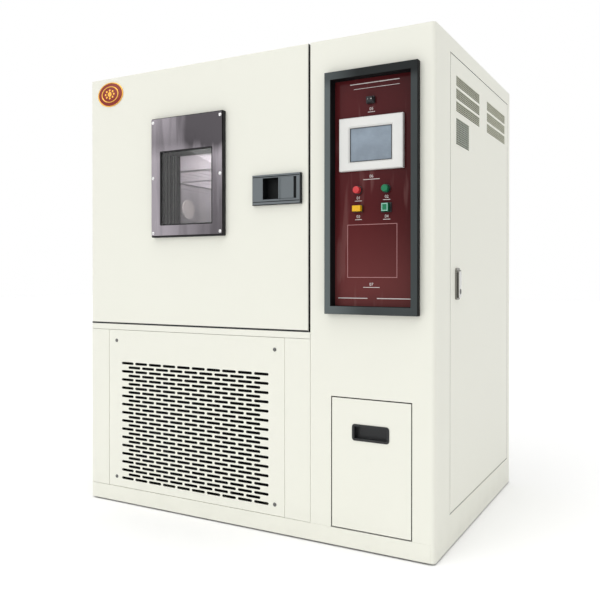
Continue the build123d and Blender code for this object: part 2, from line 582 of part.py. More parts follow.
def display_case():
    """Display housing: a broad flat bezel that falls to the screen, and the box behind the panel."""
    face = PANEL_FACE - DISPLAY_PROUD
    case = block(DISPLAY_LEFT, DISPLAY_RIGHT, face, PANEL_FACE, DISPLAY_BOTTOM, DISPLAY_TOP)
    case = chamfer(case.edges().filter_by_position(Axis.Y, face, face), 2.5)
    box = rect(DISPLAY_LEFT + 6, DISPLAY_RIGHT - 6, DISPLAY_BOTTOM + 6, DISPLAY_TOP - 6)
    case += front_sheet(box, PANEL_FACE, 35)
    case -= front_sheet(rect(SCREEN_LEFT, SCREEN_RIGHT, SCREEN_BOTTOM, SCREEN_TOP), face - 1, 9)
    rim = case.edges().filter_by_position(Axis.Y, face, face)
    rim = rim.filter_by_position(Axis.X, SCREEN_LEFT - 1, SCREEN_RIGHT + 1)
    rim = rim.filter_by_position(Axis.Z, SCREEN_BOTTOM - 1, SCREEN_TOP + 1)
    return chamfer(rim, 6)


def display_screen():
    """Touch screen, seated in the bezel."""
    seat = rect(SCREEN_LEFT, SCREEN_RIGHT, SCREEN_BOTTOM, SCREEN_TOP)
    return front_sheet(seat, PANEL_FACE - DISPLAY_PROUD + 6, 2)


def stem_hole(x, z):
    """Cutter for a button's stem."""
    return rod("y", x, z, PANEL_FACE - 20, PANEL_FACE + 18, STEM_BORE_RADIUS)


def switch_body(x, z, collar, opening):
    """Switch fixed in the panel: collar in front, barrel behind, hollow for the button's stem."""
    body = front_sheet(Pos(x, z) * collar, PANEL_FACE - COLLAR_PROUD, COLLAR_PROUD)
    body -= front_sheet(Pos(x, z) * opening, PANEL_FACE - COLLAR_PROUD, COLLAR_PROUD - 0.5)
    body += rod("y", x, z, PANEL_FACE, PANEL_FACE + BARREL_LONG, BARREL_RADIUS)
    return body - stem_hole(x, z)


def switch_bodies():
    """Fixed bodies of the four push buttons and the socket of the rocker."""
    left, right = BUTTON_XS
    upper, lower = BUTTON_ZS
    opening = Circle(ROUND_RADIUS + 0.4)
    bodies = [switch_body(x, upper, Circle(ROUND_RADIUS + 2.5), opening) for x in BUTTON_XS]
    bodies.append(switch_body(left, lower, Rectangle(30.5, 21), Rectangle(27.8, 18.3)))
    bodies.append(switch_body(right, lower, Rectangle(32, 28), Rectangle(21.8, 24.8)))
    middle = Pos(ROCKER_X, ROCKER_Z)
    socket = front_sheet(middle * Rectangle(ROCKER_WIDE, ROCKER_TALL), ROCKER_PIVOT_Y, 10)
    socket += front_sheet(middle * Rectangle(ROCKER_WIDE - 4, ROCKER_TALL - 3), PANEL_FACE, 26)
    socket -= front_sheet(middle * Rectangle(ROCKER_WIDE - 5, 16.6), ROCKER_PIVOT_Y, 12)
    return Part() + bodies + [socket]


def push_button(x, z, cap, proud):
    """Button cap with its stem."""
    button = front_sheet(Pos(x, z) * cap, PANEL_FACE - proud, proud - COLLAR_PROUD)
    edge = button.edges().filter_by_position(Axis.Y, PANEL_FACE - proud, PANEL_FACE - proud)
    button = chamfer(edge, 1.2)
    start = PANEL_FACE - COLLAR_PROUD
    return button + rod("y", x, z, start, start + STEM_LONG, STEM_RADIUS)


def rocker_paddle():
    """Rocker of the main switch: proud at its top, with a round belly in the socket."""
    belly = Pos(ROCKER_PIVOT_Y, ROCKER_Z) * Circle(7.9)
    belly &= rect(ROCKER_PIVOT_Y, ROCKER_PIVOT_Y + 20, ROCKER_Z - 20, ROCKER_Z + 20)
    y, z = ROCKER_PIVOT_Y, ROCKER_Z
    wedge = Polygon((y, z + 7.9), (y - 9, z + 7.6), (y - 3, z - 7.6), (y, z - 7.9), align=None)
    return side_sheet(belly + wedge, ROCKER_X - ROCKER_WIDE / 2 + 2.9, ROCKER_WIDE - 5.8)


def mounting_plate():
    """Electrical mounting plate on the partition, with wire ducts and device rails."""
    x = COLUMN_LEFT + SKIN
    plate = block(x, x + 2, -300, 380, 500, 1440)
    for z in (510.0, 780.0, 1050.0, 1390.0):
        plate += block(x + 2, x + 52, -290, 370, z, z + 40)
    for z in (660.0, 930.0, 1220.0):
        plate += block(x + 2, x + 9, -280, 360, z - 17, z + 17)
    return plate


def electrical_panel():
    """Mounting plate with its rows of breakers, contactors, relays and a power unit."""
    x = COLUMN_LEFT + SKIN + 9
    small = [(y, 54, 80, 70) for y in (-270, -200, -130)]
    contactors = [(y, 45, 86, 85) for y in (-270, -210, -150, -90)]
    relays = [(y, 36, 80, 66) for y in (40, 90, 140)]
    rows = (
        (660.0, small + [(-20, 120, 100, 60), (160, 180, 90, 50)]),
        (930.0, contactors + [(20, 130, 120, 110)]),
        (1220.0, relays + [(-270, 260, 150, 60), (230, 90, 110, 95)]),
    )
    devices = []
    for z, row in rows:
        for y, wide, tall, deep in row:
            device = block(x, x + deep * 0.7, y, y + wide, z - tall / 2, z + tall / 2)
            device += block(x, x + deep, y, y + wide, z - tall / 4, z + tall / 4)
            devices.append(device)
    return mounting_plate() + devices


# Machine space


def compressor():
    """Hermetic compressor: domed can on a foot plate with two pipe stubs."""
    x, y = -430.0, 180.0
    upright = (Align.CENTER, Align.CENTER, Align.MIN)
    can = rod("z", x, y, 75, 290, 92) + Pos(x, y, 290) * Cone(92, 50, 40, align=upright)
    foot = block(x - 110, x + 110, y - 70, y + 70, 69, 75)
    for dx in (-90, 90):
        for dy in (-50, 50):
            foot += Pos(x + dx, y + dy, PLINTH_TOP) * extrude(RegularPolygon(14, 6), 12)
    return can + foot + rod("x", y, 280, x + 80, x + 130, 8)


def condenser_coil():
    """Condenser behind the intake grille: finned block between end plates on two feet."""
    coil = block(-530, 130, -430, -370, 80, 560)
    for groove in range(22):
        z = 92 + 21 * groove
        coil -= block(-520, 120, -431, -425, z, z + 9)
    return coil + block(-530, -520, -430, -370, PLINTH_TOP, 80) + block(120, 130, -430, -370, PLINTH_TOP, 80)


def condenser_shroud():
    """Fan shroud plate with a round throat, and the motor held on a cross bar."""
    outline = rect(-530, 130, 80, 560) - Pos(FAN_X, 320) * Circle(170)
    shroud = front_sheet(outline, -370, 3)
    bar = block(FAN_X - 190, FAN_X + 190, -326, -320, 300, 340)
    for x in (FAN_X - 190, FAN_X + 180):
        bar += block(x, x + 10, -367, -326, 300, 340)
    motor = rod("y", FAN_X, 320, -320, -250, 45)
    return shroud + bar + motor - rod("y", FAN_X, 320, -327, -300, 6 + RUNNING_FIT)


def condenser_fan():
    """Axial fan of five pitched blades on a hub."""
    fan = rod("y", FAN_X, 320, -364, -335, 40) + rod("y", FAN_X, 320, -335, -302, 6)
    blade = Pos(98, 0, 0) * Rot(35, 0, 0) * Box(128, 62, 2.5)
    for turn in range(5):
        fan += Pos(FAN_X, -349, 320) * Rot(90, 0, 0) * Rot(0, 0, 72 * turn) * blade
    return fan


def steam_generator():
    """Boiler that feeds moisture: upright vessel with an eight-sided lid flange."""
    vessel = rod("z", 60, 200, PLINTH_TOP, 380, 80)
    return vessel + Pos(60, 200, 380) * extrude(RegularPolygon(94, 8), 12)


# Water drawer


def drawer_front():
    """Folded drawer front with the cut-out of the pull."""
    outline = rect(DRAWER_LEFT, DRAWER_RIGHT, DRAWER_BOTTOM, DRAWER_TOP)
    flange = outline - offset(outline, amount=-SKIN, kind=Kind.INTERSECTION)
    front = front_sheet(outline, FRONT, SKIN)
    front += front_sheet(flange, FRONT + SKIN, DRAWER_FRONT_THICK - SKIN)
    return front - block(PULL_LEFT + 5, PULL_RIGHT - 5, FRONT - 9, FRONT + 9, PULL_BOTTOM + 4, PULL_TOP - 4)


def drawer_pull():
    """Flush pull: rounded rim and a deep cup."""
    rim = front_sheet(rect(PULL_LEFT, PULL_RIGHT, PULL_BOTTOM, PULL_TOP, 9), FRONT - 2, 2)
    cup = front_sheet(rect(PULL_LEFT + 5, PULL_RIGHT - 5, PULL_BOTTOM + 4, PULL_TOP - 4), FRONT, 18)
    hollow = rect(PULL_LEFT + 8, PULL_RIGHT - 8, PULL_BOTTOM + 7, PULL_TOP - 7)
    return rim + cup - front_sheet(hollow, FRONT - 3, 19)


def drawer_tray():
    """Folded tray behind the drawer front, with the inner members of its slides."""
    front, back = FRONT + DRAWER_FRONT_THICK, TRAY_BACK
    tray = block(TRAY_LEFT, TRAY_RIGHT, front, back, TANK_BOTTOM - SKIN, TANK_BOTTOM)
    tray += block(TRAY_LEFT, TRAY_LEFT + SKIN, front, back, TANK_BOTTOM, 200)
    tray += block(TRAY_RIGHT - SKIN, TRAY_RIGHT, front, back, TANK_BOTTOM, 200)
    tray += block(TRAY_LEFT, TRAY_RIGHT, back - SKIN, back, TANK_BOTTOM, 200)
    face = rect(DRAWER_LEFT + SKIN, DRAWER_RIGHT - SKIN, DRAWER_BOTTOM + SKIN, 300)
    tray += front_sheet(face, front - SKIN, SKIN)
    for side in (0, 1):
        member = slide_member(TRAY_LEFT - 1.5, 1.5, 29, -3.0)
        tray += mirrored(member, (TRAY_LEFT + TRAY_RIGHT) / 2) if side else member
    return tray


def slide_member(x_web, web, tall, lip):
    """Channel of a telescopic slide. Its lips point away from the web by lip."""
    low, high = SLIDE_Z - tall / 2, SLIDE_Z + tall / 2
    channel = block(x_web, x_web + web, SLIDE_FRONT, SLIDE_BACK, low, high)
    edges = (x_web + web, x_web + web + lip) if lip > 0 else (x_web + lip, x_web)
    channel += block(*edges, SLIDE_FRONT, SLIDE_BACK, low, low + 1.5)
    return channel + block(*edges, SLIDE_FRONT, SLIDE_BACK, high - 1.5, high)


def drawer_rails_middle():
    """Middle members of the two telescopic slides."""
    member = slide_member(TRAY_LEFT - 8, 1.5, 37, 3.5)
    return member + mirrored(member, (TRAY_LEFT + TRAY_RIGHT) / 2)


def drawer_rails_fixed():
    """Fixed members of the two slides, each on an upright bracket that stands on the deck."""
    member = slide_member(TRAY_LEFT - 12, 1.5, 45, 5.0)
    member += block(TRAY_LEFT - 15, TRAY_LEFT - 12, SLIDE_FRONT, SLIDE_BACK, PLINTH_TOP, SLIDE_Z + 25)
    member += block(TRAY_LEFT - 45, TRAY_LEFT - 15, SLIDE_FRONT, SLIDE_BACK, PLINTH_TOP, PLINTH_TOP + 3)
    return member + mirrored(member, (TRAY_LEFT + TRAY_RIGHT) / 2)


def water_tank():
    """Open tank with a cover over its rear half, which leaves the filler opening in front."""
    tank = block(TANK_LEFT, TANK_RIGHT, TANK_FRONT, TANK_BACK, TANK_BOTTOM, TANK_TOP)
    tank = offset(tank, amount=-TANK_WALL, kind=Kind.INTERSECTION)
    tank = block(TANK_LEFT, TANK_RIGHT, TANK_FRONT, TANK_BACK, TANK_BOTTOM, TANK_TOP) - tank
    lid_hole = (TANK_LEFT + 14, TANK_RIGHT - 14, TANK_FRONT + 14, FILLER_BACK)
    tank -= block(*lid_hole, TANK_TOP - 10, TANK_TOP + 10)
    for x in (TANK_LEFT + 30, TANK_RIGHT - 50):
        tank += block(x, x + 20, FILLER_BACK + 8, FILLER_BACK + 20, TANK_TOP, TANK_TOP + 10)
    return tank - rod("x", FILLER_BACK + 14, TANK_TOP + 6, TANK_LEFT, TANK_RIGHT, 2 + RUNNING_FIT)


def tank_flap():
    """Hinged flap over the filler opening, with its pin."""
    top, hinge = TANK_TOP, FILLER_BACK + 14
    flap = block(TANK_LEFT + 8, TANK_RIGHT - 8, TANK_FRONT + 8, hinge - 9, top + 0.3, top + 4)
    flap += block(TANK_LEFT + 60, TANK_RIGHT - 60, hinge - 10, hinge, top + 3, top + 7)
    return flap + rod("x", hinge, top + 6, TANK_LEFT + 31, TANK_RIGHT - 31, 2)


# Service door


def service_door_panel():
    """Side door: sheet with a return flange all round and the openings of its vents."""
    face = rect(SERVICE_FRONT, SERVICE_BACK, SERVICE_BOTTOM, SERVICE_TOP)
    flange = face - offset(face, amount=-SKIN, kind=Kind.INTERSECTION)
    for y0, y1 in VENT_COLUMNS:
        for z0, z1 in VENT_ROWS:
            face -= rect(y0, y1, z0, z1)
    face -= rect(*FAN_VENT)
    door = side_sheet(face, RIGHT - SKIN, SKIN)
    door += side_sheet(flange, RIGHT - SERVICE_FLANGE - SKIN, SERVICE_FLANGE)
    bore = SERVICE_PIN_RADIUS + RUNNING_FIT
    return door - rod("z", SERVICE_PIN_X, SERVICE_PIN_Y, SERVICE_BOTTOM - 5, SERVICE_TOP + 5, bore)


def vent_screens():
    """Screens behind the vents: two tall ones with slots, and the fan guard."""
    screens = []
    margin = 8
    for y0, y1 in VENT_COLUMNS:
        outline = rect(y0 - margin, y1 + margin, VENT_ROWS[-1][0] - margin, VENT_ROWS[0][1] + margin)
        slots = []
        for z0, z1 in VENT_ROWS:
            for column in range(8):
                slots.append(Pos(y0 + 18 + 33 * column, (z0 + z1) / 2) * Rectangle(24, z1 - z0 - 6))
        screens.append(side_sheet(slotted(outline, slots), RIGHT - SKIN - 1.5, 1.5))
    y0, y1, z0, z1 = FAN_VENT
    slots = [Pos(y0 + 14 + 19 * column, (z0 + z1) / 2) * Rectangle(13, z1 - z0 - 8) for column in range(7)]
    guard = slotted(rect(y0 - margin, y1 + margin, z0 - margin, z1 + margin), slots)
    screens.append(side_sheet(guard, RIGHT - SKIN - 1.5, 1.5))
    return Part() + screens


def service_hinge_pins():
    """Pivot brackets above and below the service door."""
    x, y, radius = SERVICE_PIN_X, SERVICE_PIN_Y, SERVICE_PIN_RADIUS
    over, under = SERVICE_TOP + SERVICE_GAP + 1, SERVICE_BOTTOM - SERVICE_GAP - 1
    top = block(620, RIGHT - SKIN, y - 12, y + 12, over, over + 4)
    top += rod("z", x, y, SERVICE_TOP - 8, over, radius)
    bottom = block(620, RIGHT - SKIN, y - 12, y + 12, under - 4, under)
    bottom += rod("z", x, y, under, SERVICE_BOTTOM + 8, radius)
    return top + bottom


def lock_plate():
    """Lock escutcheon with a seat for the handle and a barrel through the door."""
    plate = side_sheet(rect(LOCK_FRONT, LOCK_BACK, LOCK_BOTTOM, LOCK_TOP, 8), RIGHT, LOCK_PLATE)
    ears = []
    for y in (LOCK_FRONT + 3, LOCK_BACK - 6):
        ears.append(block(RIGHT + LOCK_PLATE, RIGHT + 9.5, y, y + 3, LOCK_PIVOT_Z - 4, LOCK_PIVOT_Z + 4))
    plate += ears
    hole = rod("y", RIGHT + 7.3, LOCK_PIVOT_Z, LOCK_FRONT, LOCK_BACK, 1.2 + RUNNING_FIT)
    plate -= rod("x", LOCK_BUTTON_Y, LOCK_BUTTON_Z, RIGHT - 1, RIGHT + 20, 5.5)
    return plate - hole


def lock_handle():
    """Lock lever that folds out about its top end, with the hole of the release button."""
    face = rect(LOCK_FRONT + 7, LOCK_BACK - 7, LOCK_BOTTOM + 5, LOCK_PIVOT_Z + 1.5, 6)
    lever = side_sheet(face, RIGHT + LOCK_PLATE + 1, LOCK_HANDLE_PROUD - LOCK_PLATE - 1)
    face = RIGHT + LOCK_HANDLE_PROUD
    lever = chamfer(lever.edges().filter_by_position(Axis.X, face, face), 1.5)
    lever -= rod("x", LOCK_BUTTON_Y, LOCK_BUTTON_Z, RIGHT, RIGHT + 20, 8.2)
    return lever + rod("y", RIGHT + 7.3, LOCK_PIVOT_Z, LOCK_FRONT + 3.2, LOCK_BACK - 3.2, 1.2)


def lock_button():
    """Release button in the middle of the lever's lower end, with its stem in the plate."""
    cap = rod("x", LOCK_BUTTON_Y, LOCK_BUTTON_Z, RIGHT + LOCK_PLATE + 3, RIGHT + 11.5, 7.6)
    return cap + rod("x", LOCK_BUTTON_Y, LOCK_BUTTON_Z, RIGHT + 3, RIGHT + LOCK_PLATE + 3, 5)


def build_parts():
    """Every sub-part by name."""
    left, right = BUTTON_XS
    upper, lower = BUTTON_ZS
    singles = (
        base_plinth, levelling_feet, column_shell, cabinet_wrap, rear_panel, rear_motor_cover,
        lower_front_frame, intake_grille, grille_screws, insulation_boards, chamber_liner, cable_port,
        air_baffle, specimen_shelves, chamber_lamp, fan_wheel, circulation_motor, evaporator,
        heater, door_shell, door_core, door_gasket, window_frame, window_plate,
        window_panes, door_hinge_leaves, cabinet_hinge_leaves, latch_case, latch_paddle,
        latch_bolt, column_partition, control_frame, control_panel, display_case, display_screen,
        switch_bodies, rocker_paddle, electrical_panel, compressor, condenser_coil,
        condenser_shroud, condenser_fan, steam_generator, drawer_front, drawer_pull, drawer_tray,
        drawer_rails_middle, drawer_rails_fixed, water_tank, tank_flap, service_door_panel, vent_screens,
        service_hinge_pins, lock_plate, lock_handle, lock_button,
    )
    parts = {make.__name__: make() for make in singles}
    parts["stop_button"] = push_button(left, upper, Circle(ROUND_RADIUS), ROUND_PROUD)
    parts["start_button"] = push_button(right, upper, Circle(ROUND_RADIUS), ROUND_PROUD)
    parts["mute_button"] = push_button(left, lower, Rectangle(27, 17.5), 18)
    parts["mode_button"] = push_button(right, lower, Rectangle(21, 24), 17)
    return parts


def main():
    os.makedirs("parts", exist_ok=True)
    for name, shape in build_parts().items():
        export_step(shape, f"parts/{name}.step")


main()
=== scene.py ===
"""Environmental test chamber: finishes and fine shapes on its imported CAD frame, laid out as an add-on.

Sizes are in metres. X runs to the right, Y into the depth (the main door faces -Y) and Z up.
"""

import json
import math

import bpy
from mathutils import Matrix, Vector


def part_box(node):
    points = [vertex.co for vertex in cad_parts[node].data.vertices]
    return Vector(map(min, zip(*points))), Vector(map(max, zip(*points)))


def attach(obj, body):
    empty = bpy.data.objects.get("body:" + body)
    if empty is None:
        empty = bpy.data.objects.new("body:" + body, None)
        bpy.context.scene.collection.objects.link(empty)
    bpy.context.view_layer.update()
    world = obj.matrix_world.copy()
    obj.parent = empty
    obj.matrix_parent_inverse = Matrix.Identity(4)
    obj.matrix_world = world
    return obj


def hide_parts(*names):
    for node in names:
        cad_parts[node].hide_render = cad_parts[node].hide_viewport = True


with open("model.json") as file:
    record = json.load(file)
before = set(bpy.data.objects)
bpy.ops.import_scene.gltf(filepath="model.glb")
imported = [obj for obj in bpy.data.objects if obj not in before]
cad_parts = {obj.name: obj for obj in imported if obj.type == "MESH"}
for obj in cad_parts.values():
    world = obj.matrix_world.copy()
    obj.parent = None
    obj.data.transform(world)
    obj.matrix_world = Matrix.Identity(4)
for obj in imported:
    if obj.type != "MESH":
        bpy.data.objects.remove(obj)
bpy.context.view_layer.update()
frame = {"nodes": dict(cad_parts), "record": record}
NODES = frame["nodes"]

bl_info = {
    "name": "Environmental test chamber",
    "version": (1, 0, 0),
    "blender": (4, 5, 0),
    "location": "3D View > Sidebar > Chamber",
    "description": "Dresses the chamber's CAD frame with finishes, rounded edges and fine parts",
    "category": "Object",
}

MM = 0.001
DOOR_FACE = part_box("door_shell")[0].y
PANEL_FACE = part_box("control_panel")[0].y
SIDE_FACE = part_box("service_door_panel")[1].x
PLATE_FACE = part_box("window_plate")[0].y


# Sizes and colours a user may change


def length(name, description, default):
    """A size property, given in millimetres."""
    return bpy.props.FloatProperty(name=name, description=description, default=default * MM, unit="LENGTH")


def colour(name, description, default):
    """A colour property."""
    return bpy.props.FloatVectorProperty(
        name=name, description=description, default=default, subtype="COLOR", size=3, min=0, max=1
    )


class ChamberSizes(bpy.types.PropertyGroup):
    """Sizes of the fine parts."""

    slot_long: length("Slot length", "Length of one slot of the intake grille", 54)
    slot_high: length("Slot height", "Height of one slot of the intake grille", 8.8)
    slot_pitch_x: length("Slot pitch across", "Distance between slots in a row", 62.1)
    slot_pitch_z: length("Slot pitch down", "Distance between rows of slots", 14.6)
    screw_radius: length("Screw head", "Radius of the pan-head screws", 4.5)
    mesh_cell: length("Mesh cell", "Pitch of the holes in the vent screens", 7.4)
    badge_wide: length("Badge width", "Width of the oval badge on the door", 115)
    badge_high: length("Badge height", "Height of the oval badge on the door", 83)
    mark_high: length("Mark height", "Height of the plain numbers on the panel", 9)
    fold_radius: length("Fold radius", "Outer radius of the folds in the painted sheets", 0.8)


class ChamberColours(bpy.types.PropertyGroup):
    """Colours of the finishes."""

    cream: colour("Cream paint", "Powder coat of the cabinet", (0.868, 0.868, 0.78))
    lacquer: colour("Panel lacquer", "Lacquer of the control panel", (0.094, 0.014, 0.016))
    trim: colour("Polished trim", "Polished plate round the window", (0.222, 0.203, 0.222))
    frame_grey: colour("Frame grey", "Frame round the control panel", (0.098, 0.115, 0.117))
    latch_grey: colour("Latch grey", "Latch case and paddle", (0.135, 0.155, 0.165))
    bezel: colour("Display bezel", "Housing of the touch display", (0.79, 0.79, 0.765))
    screen: colour("Display screen", "Dark touch film of the display", (0.205, 0.258, 0.315))
    red: colour("Stop button", "Cap of the stop button", (0.62, 0.045, 0.05))
    green: colour("Start button", "Caps of the start and mode buttons", (0.003, 0.175, 0.072))
    yellow: colour("Mute button", "Cap of the mute button", (0.80, 0.45, 0.012))
    gold: colour("Badge metal", "Raised metal of the badge", (0.80, 0.43, 0.09))


def sizes():
    return bpy.context.scene.chamber_sizes


def colours():
    return bpy.context.scene.chamber_colours


# Shader maths


class Value:
    """A shader socket. An expression on it adds the Math nodes that work it out."""

    def __init__(self, finish, socket):
        self.finish = finish
        self.socket = socket

    def math(self, operation, first, second):
        return self.finish.node("Math", {"operation": operation}, {0: first, 1: second})

    def __add__(self, other):
        return self.math("ADD", self, other)

    def __radd__(self, other):
        return self.math("ADD", other, self)

    def __sub__(self, other):
        return self.math("SUBTRACT", self, other)

    def __rsub__(self, other):
        return self.math("SUBTRACT", other, self)

    def __mul__(self, other):
        return self.math("MULTIPLY", self, other)

    def __rmul__(self, other):
        return self.math("MULTIPLY", other, self)

    def rise(self, low, high):
        """0 below low, 1 above high, and smooth between them."""
        settings = {"interpolation_type": "SMOOTHSTEP"}
        return self.finish.node("MapRange", settings, {0: self, 1: low, 2: high})


class Finish:
    """A material in the making: its Principled shader and the nodes that feed it."""

    def __init__(self, name):
        self.material = bpy.data.materials.new(name)
        self.material.use_nodes = True
        self.tree = self.material.node_tree
        self.shader = next(n for n in self.tree.nodes if n.type == "BSDF_PRINCIPLED")

    def node(self, kind, settings=None, inputs=None, output=0):
        """Adds a shader node. Settings come first, then the values or links of its sockets."""
        node = self.tree.nodes.new("ShaderNode" + kind)
        for key, value in (settings or {}).items():
            setattr(node, key, value)
        for key, value in (inputs or {}).items():
            self.feed(node.inputs[key], value)
        return Value(self, node.outputs[output])

    def feed(self, socket, value):
        """Links a Value to a socket, or sets the socket's own number or colour."""
        if isinstance(value, Value):
            self.tree.links.new(value.socket, socket)
        else:
            socket.default_value = rgba(value) if socket.type == "RGBA" else value

    def place(self, stretch=(1, 1, 1), turn=(0, 0, 0)):
        """Object coordinates, stretched and turned."""
        point = self.node("TexCoord", output="Object")
        return self.node("Mapping", None, {"Vector": point, "Scale": stretch, "Rotation": turn})

    def along(self, axis):
        """A point's place along X, to the right, or along Z, above the floor."""
        point = self.node("TexCoord", output="Object")
        return self.node("SeparateXYZ", None, {0: point}, output=axis)

    def noise(self, scale, detail, stretch=(1, 1, 1)):
        inputs = {"Vector": self.place(stretch), "Scale": scale, "Detail": detail}
        return self.node("TexNoise", None, inputs)

    def cells(self, scale):
        """A random grey for each cell of a pattern."""
        inputs = {"Vector": self.place(), "Scale": scale}
        return self.node("TexVoronoi", None, inputs, output="Color")

    def mix(self, factor, first, second):
        """Colour that goes from first to second as factor goes from 0 to 1."""
        inputs = {0: factor, 6: rgba(first), 7: rgba(second)}
        return self.node("Mix", {"data_type": "RGBA"}, inputs, output=2)

    def bump(self, height, strength, distance):
        inputs = {"Height": height, "Strength": strength, "Distance": distance}
        return self.node("Bump", None, inputs)

    def done(self, **sockets):
        """Sets the shader's sockets, each named by its label with underscores."""
        for label, value in sockets.items():
            self.feed(self.shader.inputs[label.replace("_", " ")], value)
        return self.material


def rgba(value):
    """A colour with its alpha, or the link as it is."""
    return value if isinstance(value, Value) else (*tuple(value)[:3], 1.0)


def shade(base, amount):
    """A colour made darker (below 1) or lighter (above 1)."""
    return tuple(min(1.0, channel * amount) for channel in tuple(base)[:3])


def powder_coat(paint, base, gloss=0.36):
    """Powder coat: a fine orange peel, a slow change of tone, and dust near the floor."""
    cloudy = paint.noise(2.2, 3)
    peel = paint.noise(420, 2)
    dust = (1 - paint.along("Z").rise(0.0, 0.16)) * paint.noise(14, 5).rise(0.35, 0.75)
    tone = paint.mix(cloudy, shade(base, 0.985), shade(base, 1.01))
    tone = paint.mix(dust * 0.14, tone, shade(base, 0.80))
    rough = gloss + cloudy * 0.05 + peel * 0.05 + dust * 0.15
    relief = paint.bump(peel, 0.10, 0.0006)
    return paint.done(Base_Color=tone, Roughness=rough, Normal=relief, Specular_IOR_Level=0.15)


def brushed_metal(sheet, base, rough=0.26):
    """Brushed sheet: fine lines along one direction, and soft stains."""
    lines = sheet.noise(34, 4, (1, 1, 70))
    stain = sheet.noise(5, 3)
    tone = sheet.mix(lines * 0.6 + stain * 0.4, shade(base, 0.84), shade(base, 1.1))
    wear = rough + lines * 0.14 + stain * 0.06
    return sheet.done(Base_Color=tone, Metallic=1.0, Roughness=wear, Normal=sheet.bump(lines, 0.12, 0.0004))


def zinc_plate(zinc, base):
    """Zinc: spangles that each shine a little differently."""
    spangle = zinc.cells(150)
    grain = zinc.noise(300, 3)
    tone = zinc.mix(spangle, shade(base, 0.90), shade(base, 1.08))
    rough = 0.32 + spangle * 0.08 + grain * 0.08
    return zinc.done(Base_Color=tone, Metallic=1.0, Roughness=rough, Normal=zinc.bump(grain, 0.06, 0.0003))


def mirror_polish(plate, base):
    """Polished plate: hairline scratches, and painted reflection as upright streaks and a darker upper and
    right part.
    """
    smear = plate.noise(9, 4, (1, 1, 2.5))
    hair = plate.noise(120, 5, (1, 1, 0.06)).rise(0.62, 0.72)
    # Painted reflection in the base colour: upright light and dark bands, darker towards the top and the
    # right.
    reflection_streak = plate.noise(30, 3, (1, 1, 0.10)).rise(0.44, 0.62)
    broad_reflection = plate.noise(11, 2, (1, 1, 0.35))
    upper = plate.along("Z").rise(1.20, 1.27) * 0.50
    right = plate.along("X").rise(-0.34, -0.10) * 0.58
    deep = upper + right + reflection_streak * 0.16 + (broad_reflection - 0.5) * 0.3
    tone = plate.mix(deep, shade(base, 1.70), shade(base, 0.20))
    rough = 0.09 + smear * 0.07 + hair * 0.12
    return plate.done(Base_Color=tone, Metallic=1.0, Roughness=rough, Normal=plate.bump(hair, 0.03, 0.0002))


def bright_metal(metal, base, rough):
    """Turned or cast metal with a soft sheen: lock, screws, raised metal of the badge."""
    grain = metal.noise(260, 3)
    worn = metal.noise(22, 4)
    tone = metal.mix(worn, shade(base, 0.82), shade(base, 1.1))
    relief = metal.bump(grain, 0.08, 0.0002)
    return metal.done(Base_Color=tone, Metallic=1.0, Roughness=rough + worn * 0.12, Normal=relief)


def moulded_plastic(plastic, base, rough, grain_size, relief, level=0.4):
    """Moulded plastic: spark-eroded grain, and a sheen that varies a little."""
    grain = plastic.noise(grain_size, 3)
    cloudy = plastic.noise(7, 2)
    tone = plastic.mix(cloudy * 0.6 + grain * 0.4, shade(base, 0.90), shade(base, 1.08))
    shine = rough + grain * 0.10 - cloudy * 0.06
    bumps = plastic.bump(grain, relief, 0.0004)
    return plastic.done(Base_Color=tone, Roughness=shine, Normal=bumps, Specular_IOR_Level=level)


def satin_frame(satin, base):
    """Satin frame of the control panel: fine grain, and painted shade that deepens the tone to the right and
    the top.
    """
    grain = satin.noise(700, 3)
    # Painted shade: the frame's colour darkens towards the right and the top.
    right = satin.along("X").rise(0.32, 0.46)
    top = satin.along("Z").rise(1.36, 1.40)
    deep = right * 0.62 + top * 0.42 + satin.noise(5, 3) * 0.12
    tone = satin.mix(deep, shade(base, 1.25), shade(base, 0.16))
    shine = 0.45 + grain * 0.12
    bumps = satin.bump(grain, 0.12, 0.0003)
    return satin.done(Base_Color=tone, Roughness=shine, Normal=bumps, Specular_IOR_Level=0.12)


def gloss_cap(cap, base):
    """Glossy button cap: flow marks in the colour, and fine scratches in the gloss."""
    flow = cap.noise(90, 3)
    scratch = cap.noise(700, 2)
    tone = cap.mix(flow, shade(base, 0.86), shade(base, 1.12))
    shine = 0.20 + scratch * 0.14
    bumps = cap.bump(flow, 0.04, 0.0004)
    return cap.done(Base_Color=tone, Roughness=shine, Normal=bumps, Coat_Weight=0.08, Specular_IOR_Level=0.25)


def panel_lacquer(lacquer, base):
    """Gloss lacquer of the control panel: deep red with dust, painted shade and light that make it paler low
    down and to the left, and pale upright bands of painted reflection.
    """
    # Painted shade: darker towards the right.
    right = lacquer.along("X").rise(0.30, 0.61)
    dust = lacquer.noise(900, 2).rise(0.68, 0.8)
    cloudy = lacquer.noise(6, 4)
    tone = lacquer.mix(right * 0.75 + cloudy * 0.25, shade(base, 1.15), shade(base, 0.62))
    tone = lacquer.mix(dust * 0.12, tone, (0.35, 0.28, 0.26))
    shine = 0.10 + cloudy * 0.08 + dust * 0.2
    # Painted reflection: pale upright bands.
    reflection_band = lacquer.noise(34, 2, (1, 1, 0.12)).rise(0.56, 0.68)
    tone = lacquer.mix(reflection_band * 0.20, tone, (0.30, 0.16, 0.15))
    # Painted light: paler low down.
    low = 1 - lacquer.along("Z").rise(0.72, 1.05)
    tone = lacquer.mix(low * 0.22, tone, (0.36, 0.13, 0.12))
    bumps = lacquer.bump(lacquer.noise(60, 2), 0.02, 0.0006)
    return lacquer.done(Base_Color=tone, Roughness=shine, Normal=bumps, Specular_IOR_Level=0.06)


